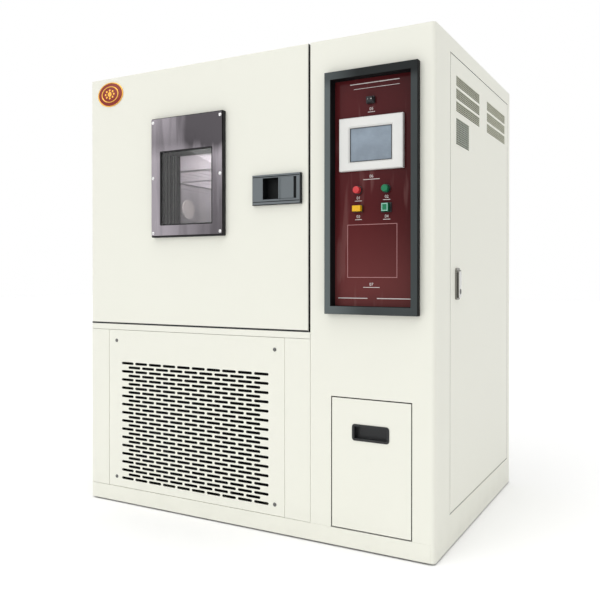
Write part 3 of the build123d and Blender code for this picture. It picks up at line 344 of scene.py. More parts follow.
def touch_film(film, base):
    """Dark touch film: a fine grid of cells under it, painted light that brightens it towards the top, and
    finger smears.
    """
    # Painted light: brighter towards the top.
    glow = film.along("Z").rise(1.13, 1.25)
    grid = film.node("TexBrick", {"offset": 0.0}, {
        "Vector": film.place(turn=(math.radians(90), 0, 0)),
        "Color1": (1, 1, 1, 1),
        "Color2": (0.9, 0.9, 0.9, 1),
        "Mortar": (0.0, 0.0, 0.0, 1),
        "Scale": 1.0,
        "Mortar Size": 0.0003,
        "Brick Width": 0.0042,
        "Row Height": 0.0042,
    })
    smear = film.noise(26, 5)
    tone = film.mix(glow * 0.4 + smear.rise(0.3, 0.7) * 0.6, shade(base, 0.80), shade(base, 1.20))
    tone = film.mix(grid * 0.10, tone, (0.55, 0.62, 0.70))
    shine = 0.12 + smear * 0.12
    bumps = film.bump(smear, 0.02, 0.0003)
    return film.done(Base_Color=tone, Roughness=shine, Normal=bumps, Specular_IOR_Level=0.3)


def soft_rubber(rubber, base):
    """Rubber: dull, with a fine grain and a pale bloom."""
    grain = rubber.noise(600, 2)
    bloom = rubber.noise(18, 4).rise(0.5, 0.8)
    tone = rubber.mix(bloom * 0.4, base, shade([channel + 0.03 for channel in base], 1.1))
    bumps = rubber.bump(grain, 0.2, 0.0004)
    return rubber.done(Base_Color=tone, Roughness=0.62 + grain * 0.2, Normal=bumps, Specular_IOR_Level=0.3)


def cut_foam(foam, base):
    """Cut foam: open cells of many sizes."""
    cells = foam.cells(260)
    coarse = foam.noise(40, 4)
    tone = foam.mix(cells * 0.5 + coarse * 0.5, shade(base, 0.72), shade(base, 1.1))
    return foam.done(Base_Color=tone, Roughness=0.85 + cells * 0.1, Normal=foam.bump(cells, 0.5, 0.0015))


def finned_aluminium(coil, base):
    """Coil block: thin fins close together, with some bent ones."""
    fins = coil.noise(9, 2, (90, 1, 1))
    bent = coil.noise(12, 3).rise(0.55, 0.8)
    tone = coil.mix(fins * 0.7 + bent * 0.3, shade(base, 0.45), shade(base, 1.05))
    bumps = coil.bump(fins, 0.5, 0.002)
    return coil.done(Base_Color=tone, Metallic=1.0, Roughness=0.35 + bent * 0.2, Normal=bumps)


def clear_glass(glass, base):
    """Clear pane with faint smears and a slight wave."""
    smear = glass.noise(7, 5).rise(0.5, 0.8)
    bumps = glass.bump(glass.noise(5, 1), 0.01, 0.001)
    return glass.done(
        Base_Color=glass.mix(smear, base, shade(base, 0.97)),
        Roughness=smear * 0.02,
        Normal=bumps,
        Transmission_Weight=1.0,
        IOR=1.45,
    )


def lit_lens(lens, base, strength):
    """Frosted lens of the lamp, lit from inside a little unevenly."""
    frost = lens.noise(500, 3)
    glow = lens.mix(lens.noise(14, 2), shade(base, 0.92), base)
    return lens.done(
        Base_Color=shade(base, 0.9),
        Roughness=0.5 + frost * 0.3,
        Emission_Color=glow,
        Emission_Strength=strength,
    )


FINISHES = {}


def make_finishes():
    """Makes every material once: its name, the function that makes it, and what that takes."""
    tone = colours()
    rows = (
        ("cream_paint", powder_coat, tone.cream),
        ("stainless", brushed_metal, (0.60, 0.60, 0.61)),
        ("polished_trim", mirror_polish, tone.trim),
        ("lock_chrome", bright_metal, (0.62, 0.62, 0.60), 0.18),
        ("lock_dark", bright_metal, (0.26, 0.255, 0.235), 0.30),
        ("zinc_plate", zinc_plate, (0.47, 0.475, 0.475)),
        ("screw_zinc", bright_metal, (0.20, 0.20, 0.195), 0.26),
        ("screw_bright", bright_metal, (0.80, 0.80, 0.80), 0.3),
        ("dark_trim", moulded_plastic, (0.018, 0.018, 0.019), 0.6, 460, 0.2, 0.2),
        ("frame_grey", satin_frame, tone.frame_grey),
        ("latch_grey", moulded_plastic, tone.latch_grey, 0.40, 650, 0.12, 0.4),
        # The next three are near-black finishes for painted shade: in the latch's recesses, on the control
        # frame's sides, and in the gaps round the doors and openings.
        ("latch_shadow", moulded_plastic, (0.006, 0.0075, 0.008), 0.6, 650, 0.12, 0.2),
        ("frame_side", moulded_plastic, (0.006, 0.0065, 0.007), 0.6, 650, 0.12, 0.12),
        ("seam", moulded_plastic, (0.030, 0.024, 0.018), 0.7, 400, 0.2, 0.1),
        ("maroon_lacquer", panel_lacquer, tone.lacquer),
        ("display_bezel", moulded_plastic, tone.bezel, 0.45, 800, 0.15),
        ("display_screen", touch_film, tone.screen),
        ("black_plastic", moulded_plastic, (0.014, 0.015, 0.016), 0.34, 620, 0.2),
        ("red_cap", gloss_cap, tone.red),
        ("green_cap", gloss_cap, tone.green),
        ("yellow_cap", gloss_cap, tone.yellow),
        ("pane_glass", clear_glass, (0.96, 0.95, 0.955)),
        ("foam", cut_foam, (0.72, 0.64, 0.42)),
        ("soft_black", soft_rubber, (0.02, 0.02, 0.021)),
        ("soft_white", soft_rubber, (0.72, 0.71, 0.67)),
        ("fin_aluminium", finned_aluminium, (0.60, 0.61, 0.62)),
        # Near black for the condenser, painted as the shade seen through the intake slots.
        ("coil_black", finned_aluminium, (0.012, 0.012, 0.013)),
        ("black_enamel", powder_coat, (0.018, 0.018, 0.02), 0.22),
        ("tank_plastic", moulded_plastic, (0.74, 0.77, 0.78), 0.38, 300, 0.1),
        ("device_plastic", moulded_plastic, (0.46, 0.48, 0.48), 0.5, 500, 0.2),
        ("lamp_glass", lit_lens, (1.0, 0.92, 0.95), 52.0),
        ("vent_paint", powder_coat, (0.50, 0.50, 0.40), 0.5),
        ("badge_enamel", gloss_cap, (0.27, 0.025, 0.018)),
        ("badge_gold", bright_metal, tone.gold, 0.22),
        # Near black, for painted shade on the latch's right and lower sides.
        ("latch_side", moulded_plastic, (0.010, 0.012, 0.013), 0.5, 650, 0.12, 0.25),
        ("fan_guard", powder_coat, (0.40, 0.42, 0.36), 0.5),
        ("pale_lens", gloss_cap, (0.26, 0.52, 0.42)),
        ("spacer", brushed_metal, (0.17, 0.19, 0.17), 0.4),
        ("print_white", moulded_plastic, (0.75, 0.70, 0.68), 0.5, 900, 0.1),
        ("print_pink", moulded_plastic, (0.50, 0.24, 0.24), 0.5, 900, 0.1),
    )
    for name, maker, *values in rows:
        FINISHES[name] = maker(Finish(name), *values)


# Modelling helpers


def let_go():
    """Deselects everything in object mode."""
    if bpy.context.object and bpy.context.object.mode != "OBJECT":
        bpy.ops.object.mode_set(mode="OBJECT")
    bpy.ops.object.select_all(action="DESELECT")


def pick(piece):
    """Makes one piece the only selected and active object."""
    let_go()
    piece.select_set(True)
    bpy.context.view_layer.objects.active = piece


def settle(piece):
    """Puts the piece's place, turn and scale into its mesh."""
    pick(piece)
    bpy.ops.object.transform_apply(location=True, rotation=True, scale=True)
    return piece


def box_piece(name, low, high):
    """A box between two corners, in millimetres."""
    let_go()
    middle = [(a + b) / 2 * MM for a, b in zip(low, high)]
    spans = [(b - a) * MM for a, b in zip(low, high)]
    bpy.ops.mesh.primitive_cube_add(size=1, location=middle, scale=spans)
    piece = bpy.context.active_object
    piece.name = name
    return settle(piece)


def round_piece(name, middle, long, radius, corners):
    """A round bar from front to back, its middle in millimetres."""
    let_go()
    bpy.ops.mesh.primitive_cylinder_add(
        vertices=corners, radius=radius * MM, depth=long * MM,
        location=[value * MM for value in middle], rotation=(math.radians(90), 0, 0),
    )
    piece = bpy.context.active_object
    piece.name = name
    return settle(piece)


def edit_faces(piece, wanted):
    """Goes into edit mode with only the wanted faces selected."""
    pick(piece)
    bpy.ops.object.mode_set(mode="EDIT")
    bpy.ops.mesh.select_mode(type="FACE")
    bpy.ops.mesh.select_all(action="DESELECT")
    bpy.ops.object.mode_set(mode="OBJECT")
    for face in piece.data.polygons:
        face.select = wanted(face)
    bpy.ops.object.mode_set(mode="EDIT")


def edit_edges(piece, wanted):
    """Goes into edit mode with only the wanted edges selected. wanted is given both ends."""
    pick(piece)
    bpy.ops.object.mode_set(mode="EDIT")
    bpy.ops.mesh.select_mode(type="EDGE")
    bpy.ops.mesh.select_all(action="DESELECT")
    bpy.ops.object.mode_set(mode="OBJECT")
    points = piece.data.vertices
    for edge in piece.data.edges:
        edge.select = wanted(points[edge.vertices[0]].co, points[edge.vertices[1]].co)
    bpy.ops.object.mode_set(mode="EDIT")


def leave_edit():
    bpy.ops.object.mode_set(mode="OBJECT")


def runs_deep(a, b):
    """An edge that runs from front to back."""
    return abs(a.y - b.y) > 0.1 * MM


def bevel_edges(piece, wanted, radius, segments):
    """Rounds the wanted edges of a piece, by a radius in millimetres."""
    edit_edges(piece, wanted)
    bpy.ops.mesh.bevel(offset=radius * MM, segments=segments, affect="EDGES")
    leave_edit()


def hollow(piece, bar):
    """Opens a box from front to back, which leaves a frame with bars of this width in millimetres."""
    edit_faces(piece, lambda face: abs(face.normal.y) > 0.9)
    bpy.ops.mesh.inset(thickness=bar * MM)
    bpy.ops.mesh.bridge_edge_loops()
    leave_edit()
    return piece


def modify(piece, kind, **settings):
    """Adds a modifier, sets it and applies it."""
    pick(piece)
    bpy.ops.object.modifier_add(type=kind)
    modifier = piece.modifiers[-1]
    for key, value in settings.items():
        setattr(modifier, key, value)
    bpy.ops.object.modifier_apply(modifier=modifier.name)


def cut(piece, *cutters):
    """Takes the cutters out of the piece and removes them."""
    for cutter in cutters:
        modify(piece, "BOOLEAN", operation="DIFFERENCE", object=cutter, solver="EXACT")
        pick(cutter)
        bpy.ops.object.delete()


def round_edges(piece, radius, segments=2, angle=35):
    """Rounds the piece's sharp edges and shades it smooth, with flat faces kept flat."""
    limit = math.radians(angle)
    modify(piece, "BEVEL", width=radius * MM, segments=segments, limit_method="ANGLE", angle_limit=limit)
    return shade_smooth(piece)


def shade_smooth(piece, angle=32):
    pick(piece)
    bpy.ops.object.shade_smooth_by_angle(angle=math.radians(angle))
    modify(piece, "WEIGHTED_NORMAL", keep_sharp=True)
    return piece


def copy_at(piece, name, move):
    """A copy of the piece with its own mesh, moved by millimetres."""
    pick(piece)
    bpy.ops.object.duplicate()
    copy = bpy.context.active_object
    copy.name = name
    bpy.ops.transform.translate(value=[value * MM for value in move])
    return settle(copy)


def join(name, pieces):
    """One piece out of several."""
    let_go()
    for piece in pieces:
        piece.select_set(True)
    bpy.context.view_layer.objects.active = pieces[0]
    bpy.ops.object.join()
    pieces[0].name = name
    return pieces[0]


def paint(piece, finish):
    """Gives a piece one finish all over."""
    piece.data.materials.clear()
    piece.data.materials.append(FINISHES[finish])


def wear(piece, body, finish, instead_of=()):
    """Paints a finished piece, lets it ride on its body, and hides the nodes it stands for."""
    paint(piece, finish)
    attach(piece, body)
    if instead_of:
        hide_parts(*instead_of)
    return piece


def touch_up(piece, finish, wanted):
    """Gives some faces of a piece a second finish."""
    piece.data.materials.append(FINISHES[finish])
    index = len(piece.data.materials) - 1
    for face in piece.data.polygons:
        if wanted(face):
            face.material_index = index


def body_of(node):
    return next(body for body, members in frame["record"]["behaviour"]["bodies"].items() if node in members)


def rounded_copy(node, radius, segments, name=None):
    """A merged copy of a CAD node with its sharp edges rounded."""
    source = NODES[node]
    piece = bpy.data.objects.new(name or f"{node}_rounded", source.data.copy())
    bpy.context.scene.collection.objects.link(piece)
    pick(piece)
    bpy.ops.object.mode_set(mode="EDIT")
    bpy.ops.mesh.select_mode(type="VERT")
    bpy.ops.mesh.select_all(action="SELECT")
    bpy.ops.mesh.remove_doubles(threshold=0.00002)
    bpy.ops.mesh.customdata_custom_splitnormals_clear()
    bpy.ops.mesh.dissolve_limited(angle_limit=math.radians(0.5))
    leave_edit()
    return round_edges(piece, radius, segments)


def dress(node, radius, finish, segments=2):
    """Shows a CAD node as its rounded copy."""
    return wear(rounded_copy(node, radius, segments), body_of(node), finish, instead_of=(node,))


class Step:
    """What every operator of this file has in common: it builds its pieces and is finished."""

    bl_options = {"REGISTER", "UNDO"}

    def execute(self, context):
        self.build()
        return {"FINISHED"}


def within(face, **spans):
    """Whether the middle of a face lies inside all the given spans of x, y and z."""
    return all(low < getattr(face.center, axis) < high for axis, (low, high) in spans.items())


# Operators, one for each piece or group of like pieces


class CHAMBER_OT_finishes(Step, bpy.types.Operator):
    """Make the finishes and give every CAD node its own"""

    bl_idname = "chamber.finishes"
    bl_label = "Finishes"

    def build(self):
        make_finishes()
        for entry in frame["record"]["subparts"]:
            paint(NODES[entry["node"]], entry["material_slot"])
        # Painted shade: the condenser behind the intake grille is near black, so that the slots read dark.
        for node in ("condenser_coil", "condenser_shroud", "condenser_fan"):
            paint(NODES[node], "coil_black")


class CHAMBER_OT_painted_sheets(Step, bpy.types.Operator):
    """Round the folds of the painted sheets, paint shade into their gaps and paint the shadow below the door
    """

    bl_idname = "chamber.painted_sheets"
    bl_label = "Painted sheets"

    drawer_opening = {"x": (0.325, 0.585), "y": (-1, -0.44), "z": (0.058, 0.453)}
    service_opening = {"x": (0.636, 1), "y": (-0.322, 0.416), "z": (0.10, 1.474)}
    sill_top = (0.637, 0.640)

    def build(self):
        fold = sizes().fold_radius / MM
        dress("cabinet_wrap", fold, "cream_paint")
        column = dress("column_shell", fold, "cream_paint")
        # Painted shade: the edges of the openings, of the drawer and of the service door are dark.
        touch_up(column, "seam", self.opening_wall)
        drawer = dress("drawer_front", 1.4, "cream_paint")
        touch_up(drawer, "seam", self.drawer_edge)
        sill = dress("lower_front_frame", 0.5, "cream_paint")
        door = dress("door_shell", fold, "cream_paint")
        # Painted shade: the door's right and lower sides are black.
        touch_up(door, "soft_black", self.shaded_door_side)
        # Painted shadow: the top of the sill under the door is black.
        touch_up(sill, "soft_black", lambda face: face.normal.z > 0.8 and within(face, z=self.sill_top))
        service = dress("service_door_panel", 0.7, "cream_paint")
        touch_up(service, "seam", self.service_edge)
        for node in ("base_plinth", "rear_motor_cover"):
            dress(node, 0.7, "cream_paint")
        # Painted shadow: a black strip along the door's lower edge.
        self.drip_strip()

    def drip_strip(self):
        """A strip with the black rubber finish along the lower edge of the door, put there as painted shadow
        under the door.
        """
        low, high = (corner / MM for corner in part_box("door_shell"))
        first = (low.x + 1, low.y - 0.5, low.z - 1.6)
        strip = box_piece("door_drip_strip", first, (high.x - 0.6, low.y + 22, low.z + 3.6))
        round_edges(strip, 0.4, 2)
        wear(strip, "door", "soft_black")

    @staticmethod
    def drawer_edge(face):
        """The folded edges all round the drawer's front, painted dark as the shade in the gap round it."""
        low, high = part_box("drawer_front")
        middle = within(face, x=(low.x + 3 * MM, high.x - 3 * MM), z=(low.z + 3 * MM, high.z - 3 * MM))
        return not middle and abs(face.normal.y) < 0.95

    def opening_wall(self, face):
        """The cut edges of the drawer's opening and of the service door's, painted dark as the shade in their
        gaps.
        """
        drawer = abs(face.normal.y) < 0.9 and within(face, **self.drawer_opening)
        service = abs(face.normal.x) < 0.9 and within(face, **self.service_opening)
        return drawer or service

    @staticmethod
    def service_edge(face):
        """The outer folds of the service door, painted dark as the shade in the gap round it."""
        low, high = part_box("service_door_panel")
        x, y, z = face.center
        rim = min(abs(y - low.y), abs(y - high.y), abs(z - low.z), abs(z - high.z)) < 2 * MM
        return rim and abs(face.normal.x) < 0.95 and x > SIDE_FACE - 1.5 * MM

    @staticmethod
    def shaded_door_side(face):
        """The right and lower sides of the door, painted black as the shade in the gaps beside and under it.
        """
        to_side = face.normal.x > 0.8 or face.normal.z < -0.8
        return to_side and DOOR_FACE + 5 * MM < face.center.y


class CHAMBER_OT_intake_grille(Step, bpy.types.Operator):
    """Model the folded intake panel with its rows of round-ended slots"""

    bl_idname = "chamber.intake_grille"
    bl_label = "Intake grille"

    first_x, top_z = -479.4, 500.5
    cut_from, cut_to = -466, -452
    slot_field = {"x": (-0.52, 0.12), "y": (-1, -0.4575), "z": (0.08, 0.52)}
    fold, sheet = 2.2, 2

    def slot_rows(self, name, x, z, across, down):
        """Cutter for every second row of slots."""
        size = sizes()
        half, high = size.slot_long / MM / 2, size.slot_high / MM / 2
        cutter = box_piece(name, (x - half, self.cut_from, z - high), (x + half, self.cut_to, z + high))
        bevel_edges(cutter, runs_deep, high * 0.98, 4)
        for step, count in (((size.slot_pitch_x, 0, 0), across), ((0, 0, -2 * size.slot_pitch_z), down)):
            modify(
                cutter, "ARRAY", count=count, use_relative_offset=False, use_constant_offset=True,
                constant_offset_displace=step,
            )
        return cutter

    def build(self):
        low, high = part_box("intake_grille")
        panel = box_piece("intake_grille_panel", low / MM, high / MM)
        edit_faces(panel, lambda face: face.normal.y > 0.9)
        bpy.ops.mesh.delete(type="FACE")
        leave_edit()
        bevel_edges(panel, lambda a, b: max(a.y, b.y) < low.y + MM, self.fold, 3)
        modify(panel, "SOLIDIFY", thickness=self.sheet * MM, offset=-1)
        size = sizes()
        half_x, row = size.slot_pitch_x / MM / 2, size.slot_pitch_z / MM
        long_rows = self.slot_rows("long_rows", self.first_x, self.top_z, 10, 15)
        short_rows = self.slot_rows("short_rows", self.first_x + half_x, self.top_z - row, 9, 14)
        cut(panel, long_rows, short_rows)
        shade_smooth(panel)
        wear(panel, "cabinet", "cream_paint", instead_of=("intake_grille",))
        # Painted shade: the slot walls are black.
        touch_up(panel, "soft_black", self.slot_wall_shade)

    def slot_wall_shade(self, face):
        """The thin inner walls of the slots, painted black as the shade inside the slots."""
        return within(face, **self.slot_field) and abs(face.normal.y) < 0.5


def screw_head(name, x, face, z, radius):
    """A pan-head screw with a cross recess and a thin washer, its head to the front."""
    head = round_piece(name, (x, face - 1.35, z), 2.3, radius, 28)
    bevel_edges(head, lambda a, b: max(a.y, b.y) < (face - 2.4) * MM, 1.3, 3)
    arm = radius * 0.62
    first = box_piece("cross_a", (x - arm, face - 4, z - 0.7), (x + arm, face - 1.3, z + 0.7))
    second = box_piece("cross_b", (x - 0.7, face - 4, z - arm), (x + 0.7, face - 1.3, z + arm))
    cut(head, first, second)
    washer = round_piece("washer", (x, face - 0.25, z), 0.5, radius + 1.8, 28)
    return shade_smooth(join(name, [head, washer]))


def lay_out(master, places, body, finish, instead_of=()):
    """Copies a piece from the first of its places (x, z) to the others, and dresses them all alike."""
    name = master.name.rsplit("_", 1)[0]
    x, z = places[0]
    pieces = [master]
    for number, (xn, zn) in enumerate(places[1:], 2):
        pieces.append(copy_at(master, f"{name}_{number}", (xn - x, 0, zn - z)))
    for piece in pieces:
        wear(piece, body, finish, instead_of)


class CHAMBER_OT_screws(Step, bpy.types.Operator):
    """Model the cross-recess screws of the intake panel and of the window trim"""

    bl_idname = "chamber.screws"
    bl_label = "Screws"

    grille = ((-531, 580), (129, 580), (-531, 93), (129, 93))
    window = tuple((x, z) for x in (-346.5, -66.5) for z in (956.5, 1144.0, 1334.0))

    def build(self):
        radius = sizes().screw_radius / MM
        x, z = self.grille[0]
        master = screw_head("grille_screw_1", x, DOOR_FACE / MM, z, radius)
        lay_out(master, self.grille, "cabinet", "screw_zinc", ("grille_screws",))
        x, z = self.window[0]
        master = screw_head("window_screw_1", x, PLATE_FACE / MM, z, 3.4)
        lay_out(master, self.window, "door", "screw_bright")


class CHAMBER_OT_rear_screws(Step, bpy.types.Operator):
    """Model the screws round the edge of the rear panel, one modelled and the others copied"""

    bl_idname = "chamber.rear_screws"
    bl_label = "Rear screws"

    places = tuple((x, z) for x in (-634.0, 604.0) for z in (80.0, 435.0, 790.0, 1145.0, 1500.0)) + (
        (-221.0, 1500.0), (191.0, 1500.0), (-221.0, 80.0), (191.0, 80.0)
    )

    def build(self):
        x, z = self.places[0]
        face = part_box("rear_panel")[1].y / MM
        master = screw_head("rear_screw_1", -x, -face, z, 4.2)
        pick(master)
        bpy.ops.transform.rotate(value=math.pi, orient_axis="Z", center_override=(0, 0, 0))
        lay_out(settle(master), self.places, "cabinet", "screw_zinc")


class CHAMBER_OT_window_trim(Step, bpy.types.Operator):
    """Model the polished window plate, the glazing strip and the pane spacers"""

    bl_idname = "chamber.window_trim"
    bl_label = "Window trim"

    pane = (-317, -98, 982, 1234)

    def build(self):
        low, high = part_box("window_plate")
        x0, x1, z0, z1 = self.pane
        plate = box_piece("window_trim_plate", low / MM, high / MM)
        bevel_edges(plate, runs_deep, 4, 4)
        hole = box_piece("hole", (x0, low.y / MM - 5, z0), (x1, high.y / MM + 5, z1))
        bevel_edges(hole, runs_deep, 3, 3)
        cut(plate, hole)
        round_edges(plate, 0.9, 3, 50)
        wear(plate, "door", "polished_trim", instead_of=("window_plate",))
        dress("window_frame", 0.6, "dark_trim")
        front = high.y / MM
        strip = box_piece("glazing_strip", (x0, front - 3, z0), (x1, front + 8, z1))
        round_edges(hollow(strip, 4.5), 1.3, 3)
        wear(strip, "door", "soft_black")
        self.spacers()

    def spacers(self):
        """Metal spacer frames in the window's tunnel, one modelled and three copied."""
        x0, x1, z0, z1 = self.pane
        master = box_piece("pane_spacer_1", (x0 + 0.4, -450, z0 + 0.4), (x1 - 0.4, -445, z1 - 0.4))
        round_edges(hollow(master, 3.4), 1.0, 2)
        frames = [master]
        for number, move in enumerate((16, 40, 54), 2):
            frames.append(copy_at(master, f"pane_spacer_{number}", (0, move, 0)))
        for piece in frames:
            wear(piece, "door", "spacer")


class CHAMBER_OT_latch(Step, bpy.types.Operator):
    """Shape the door latch: bezel with its two grooves, recess and paddle, with painted shade in the grooves,
    the recess, beyond the paddle and on the bezel's right and lower sides
    """

    bl_idname = "chamber.latch"
    bl_label = "Door latch"

    groove_heights = (1043.0, 1121.0)
    recess = {"x": (0.0928, 0.2144), "y": (-0.472, 0), "z": (1.0496, 1.1174)}
    right_side, lower_side, paddle_tip = 0.2255, 1.0355, 0.2015

    def build(self):
        case = rounded_copy("latch_case", 0.9, 3, "latch_bezel")
        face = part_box("latch_case")[0].y / MM
        grooves = []
        for z in self.groove_heights:
            grooves.append(box_piece("groove", (56, face - 2, z - 1.2), (225, face + 1.4, z + 1.2)))
        cut(case, *grooves)
        shade_smooth(case)
        wear(case, "door", "latch_grey", instead_of=("latch_case",))
        # Painted shade on the bezel's right and lower sides.
        touch_up(case, "latch_side", self.shaded_outer_side)
        # Painted shadow in the recess and in the two grooves.
        touch_up(case, "latch_shadow", lambda face: within(face, **self.recess))
        touch_up(case, "latch_shadow", self.groove)
        paddle = dress("latch_paddle", 1.0, "latch_grey", 3)
        # Painted shadow in the pocket beyond the paddle's tip.
        touch_up(paddle, "latch_shadow", lambda face: face.center.x > self.paddle_tip)

    def shaded_outer_side(self, face):
        """The bezel's right and lower sides, painted near black as shade."""
        outward = face.normal.x > 0.6 or face.normal.z < -0.6
        return outward and (face.center.x > self.right_side or face.center.z < self.lower_side)

    def groove(self, face):
        """The two fine grooves that set off the bezel's border, painted near black as the shade in them."""
        near = any(abs(face.center.z - z * MM) < 1.4 * MM for z in self.groove_heights)
        return near and within(face, x=(0.055, self.right_side), y=(-0.4728, -0.4710))


class CHAMBER_OT_badge(Step, bpy.types.Operator):
    """Model the plain oval badge: enamel dome, metal rim, raised ring, studs and boss"""

    bl_idname = "chamber.badge"
    bl_label = "Badge"

    middle = (-558.0, 1461.0)
    ring_share, stud_share = 0.66, 0.17

    def ring(self, name, wide, high, depth, thick):
        """An oval ring on the door's face."""
        x, z = self.middle
        let_go()
        place = (x * MM, DOOR_FACE - depth * MM, z * MM)
        bpy.ops.mesh.primitive_torus_add(
            location=place, rotation=(math.radians(90), 0, 0), major_segments=72, minor_segments=12,
            major_radius=high / 2 * MM, minor_radius=thick * MM,
        )
        piece = bpy.context.active_object
        piece.name = name
        piece.scale = (wide / high, 1, 1)
        settle(piece)
        return shade_smooth(piece, 60)

    def build(self):
        x, z = self.middle
        wide, high = sizes().badge_wide / MM, sizes().badge_high / MM
        let_go()
        bpy.ops.mesh.primitive_uv_sphere_add(
            segments=64, ring_count=24, radius=1, location=(x * MM, DOOR_FACE, z * MM),
            scale=(wide / 2 * MM, 4.5 * MM, high / 2 * MM),
        )
        dome = settle(bpy.context.active_object)
        dome.name = "badge_dome"
        bpy.ops.object.mode_set(mode="EDIT")
        bpy.ops.mesh.select_all(action="SELECT")
        bpy.ops.mesh.bisect(
            plane_co=(0, DOOR_FACE, 0), plane_no=(0, 1, 0), use_fill=True, clear_outer=True
        )
        leave_edit()
        shade_smooth(dome, 60)
        wear(dome, "door", "badge_enamel")
        rim = self.ring("badge_rim", wide, high, 0.6, 2.0)
        inner = self.ring("badge_ring", wide * self.ring_share, high * self.ring_share, 3.2, 1.9)
        pieces = [rim, inner]
        for number in range(8):
            angle = math.radians(45 * number)
            px = x + wide * self.stud_share * math.cos(angle)
            pz = z + high * self.stud_share * math.sin(angle)
            stud = round_piece(f"badge_stud_{number}", (px, DOOR_FACE / MM - 4.4, pz), 1.8, 4.2, 16)
            pieces.append(round_edges(stud, 0.6, 2))
        boss = round_piece("badge_boss", (x, DOOR_FACE / MM - 4.6, z), 1.8, 9, 32)
        pieces.append(round_edges(boss, 0.7, 3))
        for piece in pieces:
            wear(piece, "door", "badge_gold")


class CHAMBER_OT_control_frame(Step, bpy.types.Operator):
    """Round the deep frame of the control panel and paint shade on its sides and reveal"""

    bl_idname = "chamber.control_frame"
    bl_label = "Control frame"

    def build(self):
        piece = dress("control_frame", 1.0, "frame_grey", 3)
        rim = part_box("control_frame")[0].y + 0.3 * MM
        # Painted shade: the frame's sides and reveal are near black.
        touch_up(piece, "frame_side", lambda face: abs(face.normal.y) < 0.8 and face.center.y > rim)


class CHAMBER_OT_display(Step, bpy.types.Operator):
    """Round the display housing and model the lip round its screen"""

    bl_idname = "chamber.display"
    bl_label = "Display"

    screen = (389.0, 519.5, 1147.5, 1245.5)

    def build(self):
        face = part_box("display_case")[0].y / MM
        dress("display_case", 1.6, "display_bezel", 3)
        x0, x1, z0, z1 = self.screen
        lip = box_piece("screen_lip", (x0 - 0.5, face + 3.6, z0 - 0.5), (x1 + 0.5, face + 6.6, z1 + 0.5))
        round_edges(hollow(lip, 1.2), 0.5, 2)
        wear(lip, "cabinet", "black_plastic")


class CHAMBER_OT_push_buttons(Step, bpy.types.Operator):
    """Round the four push buttons and their collars"""

    bl_idname = "chamber.push_buttons"
    bl_label = "Push buttons"

    def build(self):
        for node, finish in (
            ("stop_button", "red_cap"),
            ("start_button", "green_cap"),
            ("mute_button", "yellow_cap"),
            ("mode_button", "green_cap"),
        ):
            dress(node, 0.9, finish, 3)
        self.lens_frame()
        dress("switch_bodies", 0.4, "black_plastic")
        dress("rocker_paddle", 0.6, "black_plastic")

    def lens_frame(self):
        """Pale border of the square button's lens."""
        low, high = (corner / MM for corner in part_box("mode_button"))
        first, last = (low.x + 0.6, low.y - 0.9, low.z + 0.6), (high.x - 0.6, low.y + 3, high.z - 0.6)
        border = box_piece("mode_button_lens", first, last)
        round_edges(hollow(border, 3.2), 0.6, 3)
        wear(border, "mode_button", "pale_lens")


class CHAMBER_OT_panel_marks(Step, bpy.types.Operator):
    """Print the plain marks of the control panel: outline, rules and numbers"""

    bl_idname = "chamber.panel_marks"
    bl_label = "Panel marks"

    outline = (375.0, 533.0, 806.0, 963.0)
    rules = (
        (384, 540, 1376, 1378.4), (396, 540, 1362, 1363.2), (345, 440, 744, 746.4), (470, 575, 744, 746.4)
    )
    numbers = (
        ("01", 411, 1041), ("02", 500.5, 1041), ("03", 411, 986), ("04", 500.5, 984),
        ("05", 452.5, 1300), ("06", 452.5, 1103), ("07", 452.5, 786),
    )

    def build(self):
        face = PANEL_FACE / MM
        x0, x1, z0, z1 = self.outline
        border = box_piece("recorder_outline", (x0, face - 0.35, z0), (x1, face + 0.2, z1))
        hollow(border, 1.5)
        wear(border, "cabinet", "print_pink")
        for number, (x0, x1, z0, z1) in enumerate(self.rules, 1):
            self.underline(f"panel_rule_{number}", (x0, face - 0.35, z0), (x1, face + 0.2, z1))
        for text, x, z in self.numbers:
            self.numeral(f"panel_numeral_{text}", text, x, z, face, sizes().mark_high * 1.35, "cabinet")
            wide = 26 if text in ("06", "07") else 11
            first, last = (x - wide, face - 0.35, z - 9.4), (x + wide, face + 0.2, z - 7.8)
            self.underline(f"panel_underline_{text}", first, last)
        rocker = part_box("rocker_paddle")[0].y / MM
        for text, x in (("1", 447.0), ("0", 458.0)):
            self.numeral(f"rocker_mark_{text}", text, x, 1327.5, rocker + 2.4, 9.5 * MM, "rocker")

    def underline(self, name, low, high):
        """A thin printed line under a number."""
        rule = box_piece(name, low, high)
        bevel_edges(rule, runs_deep, 0.5, 2)
        wear(rule, "cabinet", "print_white")

    def numeral(self, name, text, x, z, face, high, body):
        """One plain number, slightly raised off its face."""
        let_go()
        place = (x * MM, (face - 0.1) * MM, z * MM)
        bpy.ops.object.text_add(location=place, rotation=(math.radians(90), 0, 0))
        piece = bpy.context.active_object
        piece.name = name
        piece.data.body = text
        piece.data.size = high
        piece.data.align_x = "CENTER"
        piece.data.align_y = "CENTER"
        piece.data.extrude = 0.25 * MM
        bpy.ops.object.convert(target="MESH")
        piece = settle(bpy.context.active_object)
        wear(piece, body, "print_white")


class CHAMBER_OT_drawer_pull(Step, bpy.types.Operator):
    """Round the flush pull of the water drawer"""

    bl_idname = "chamber.drawer_pull"
    bl_label = "Drawer pull"

    def build(self):
        dress("drawer_pull", 1.1, "black_plastic", 3)


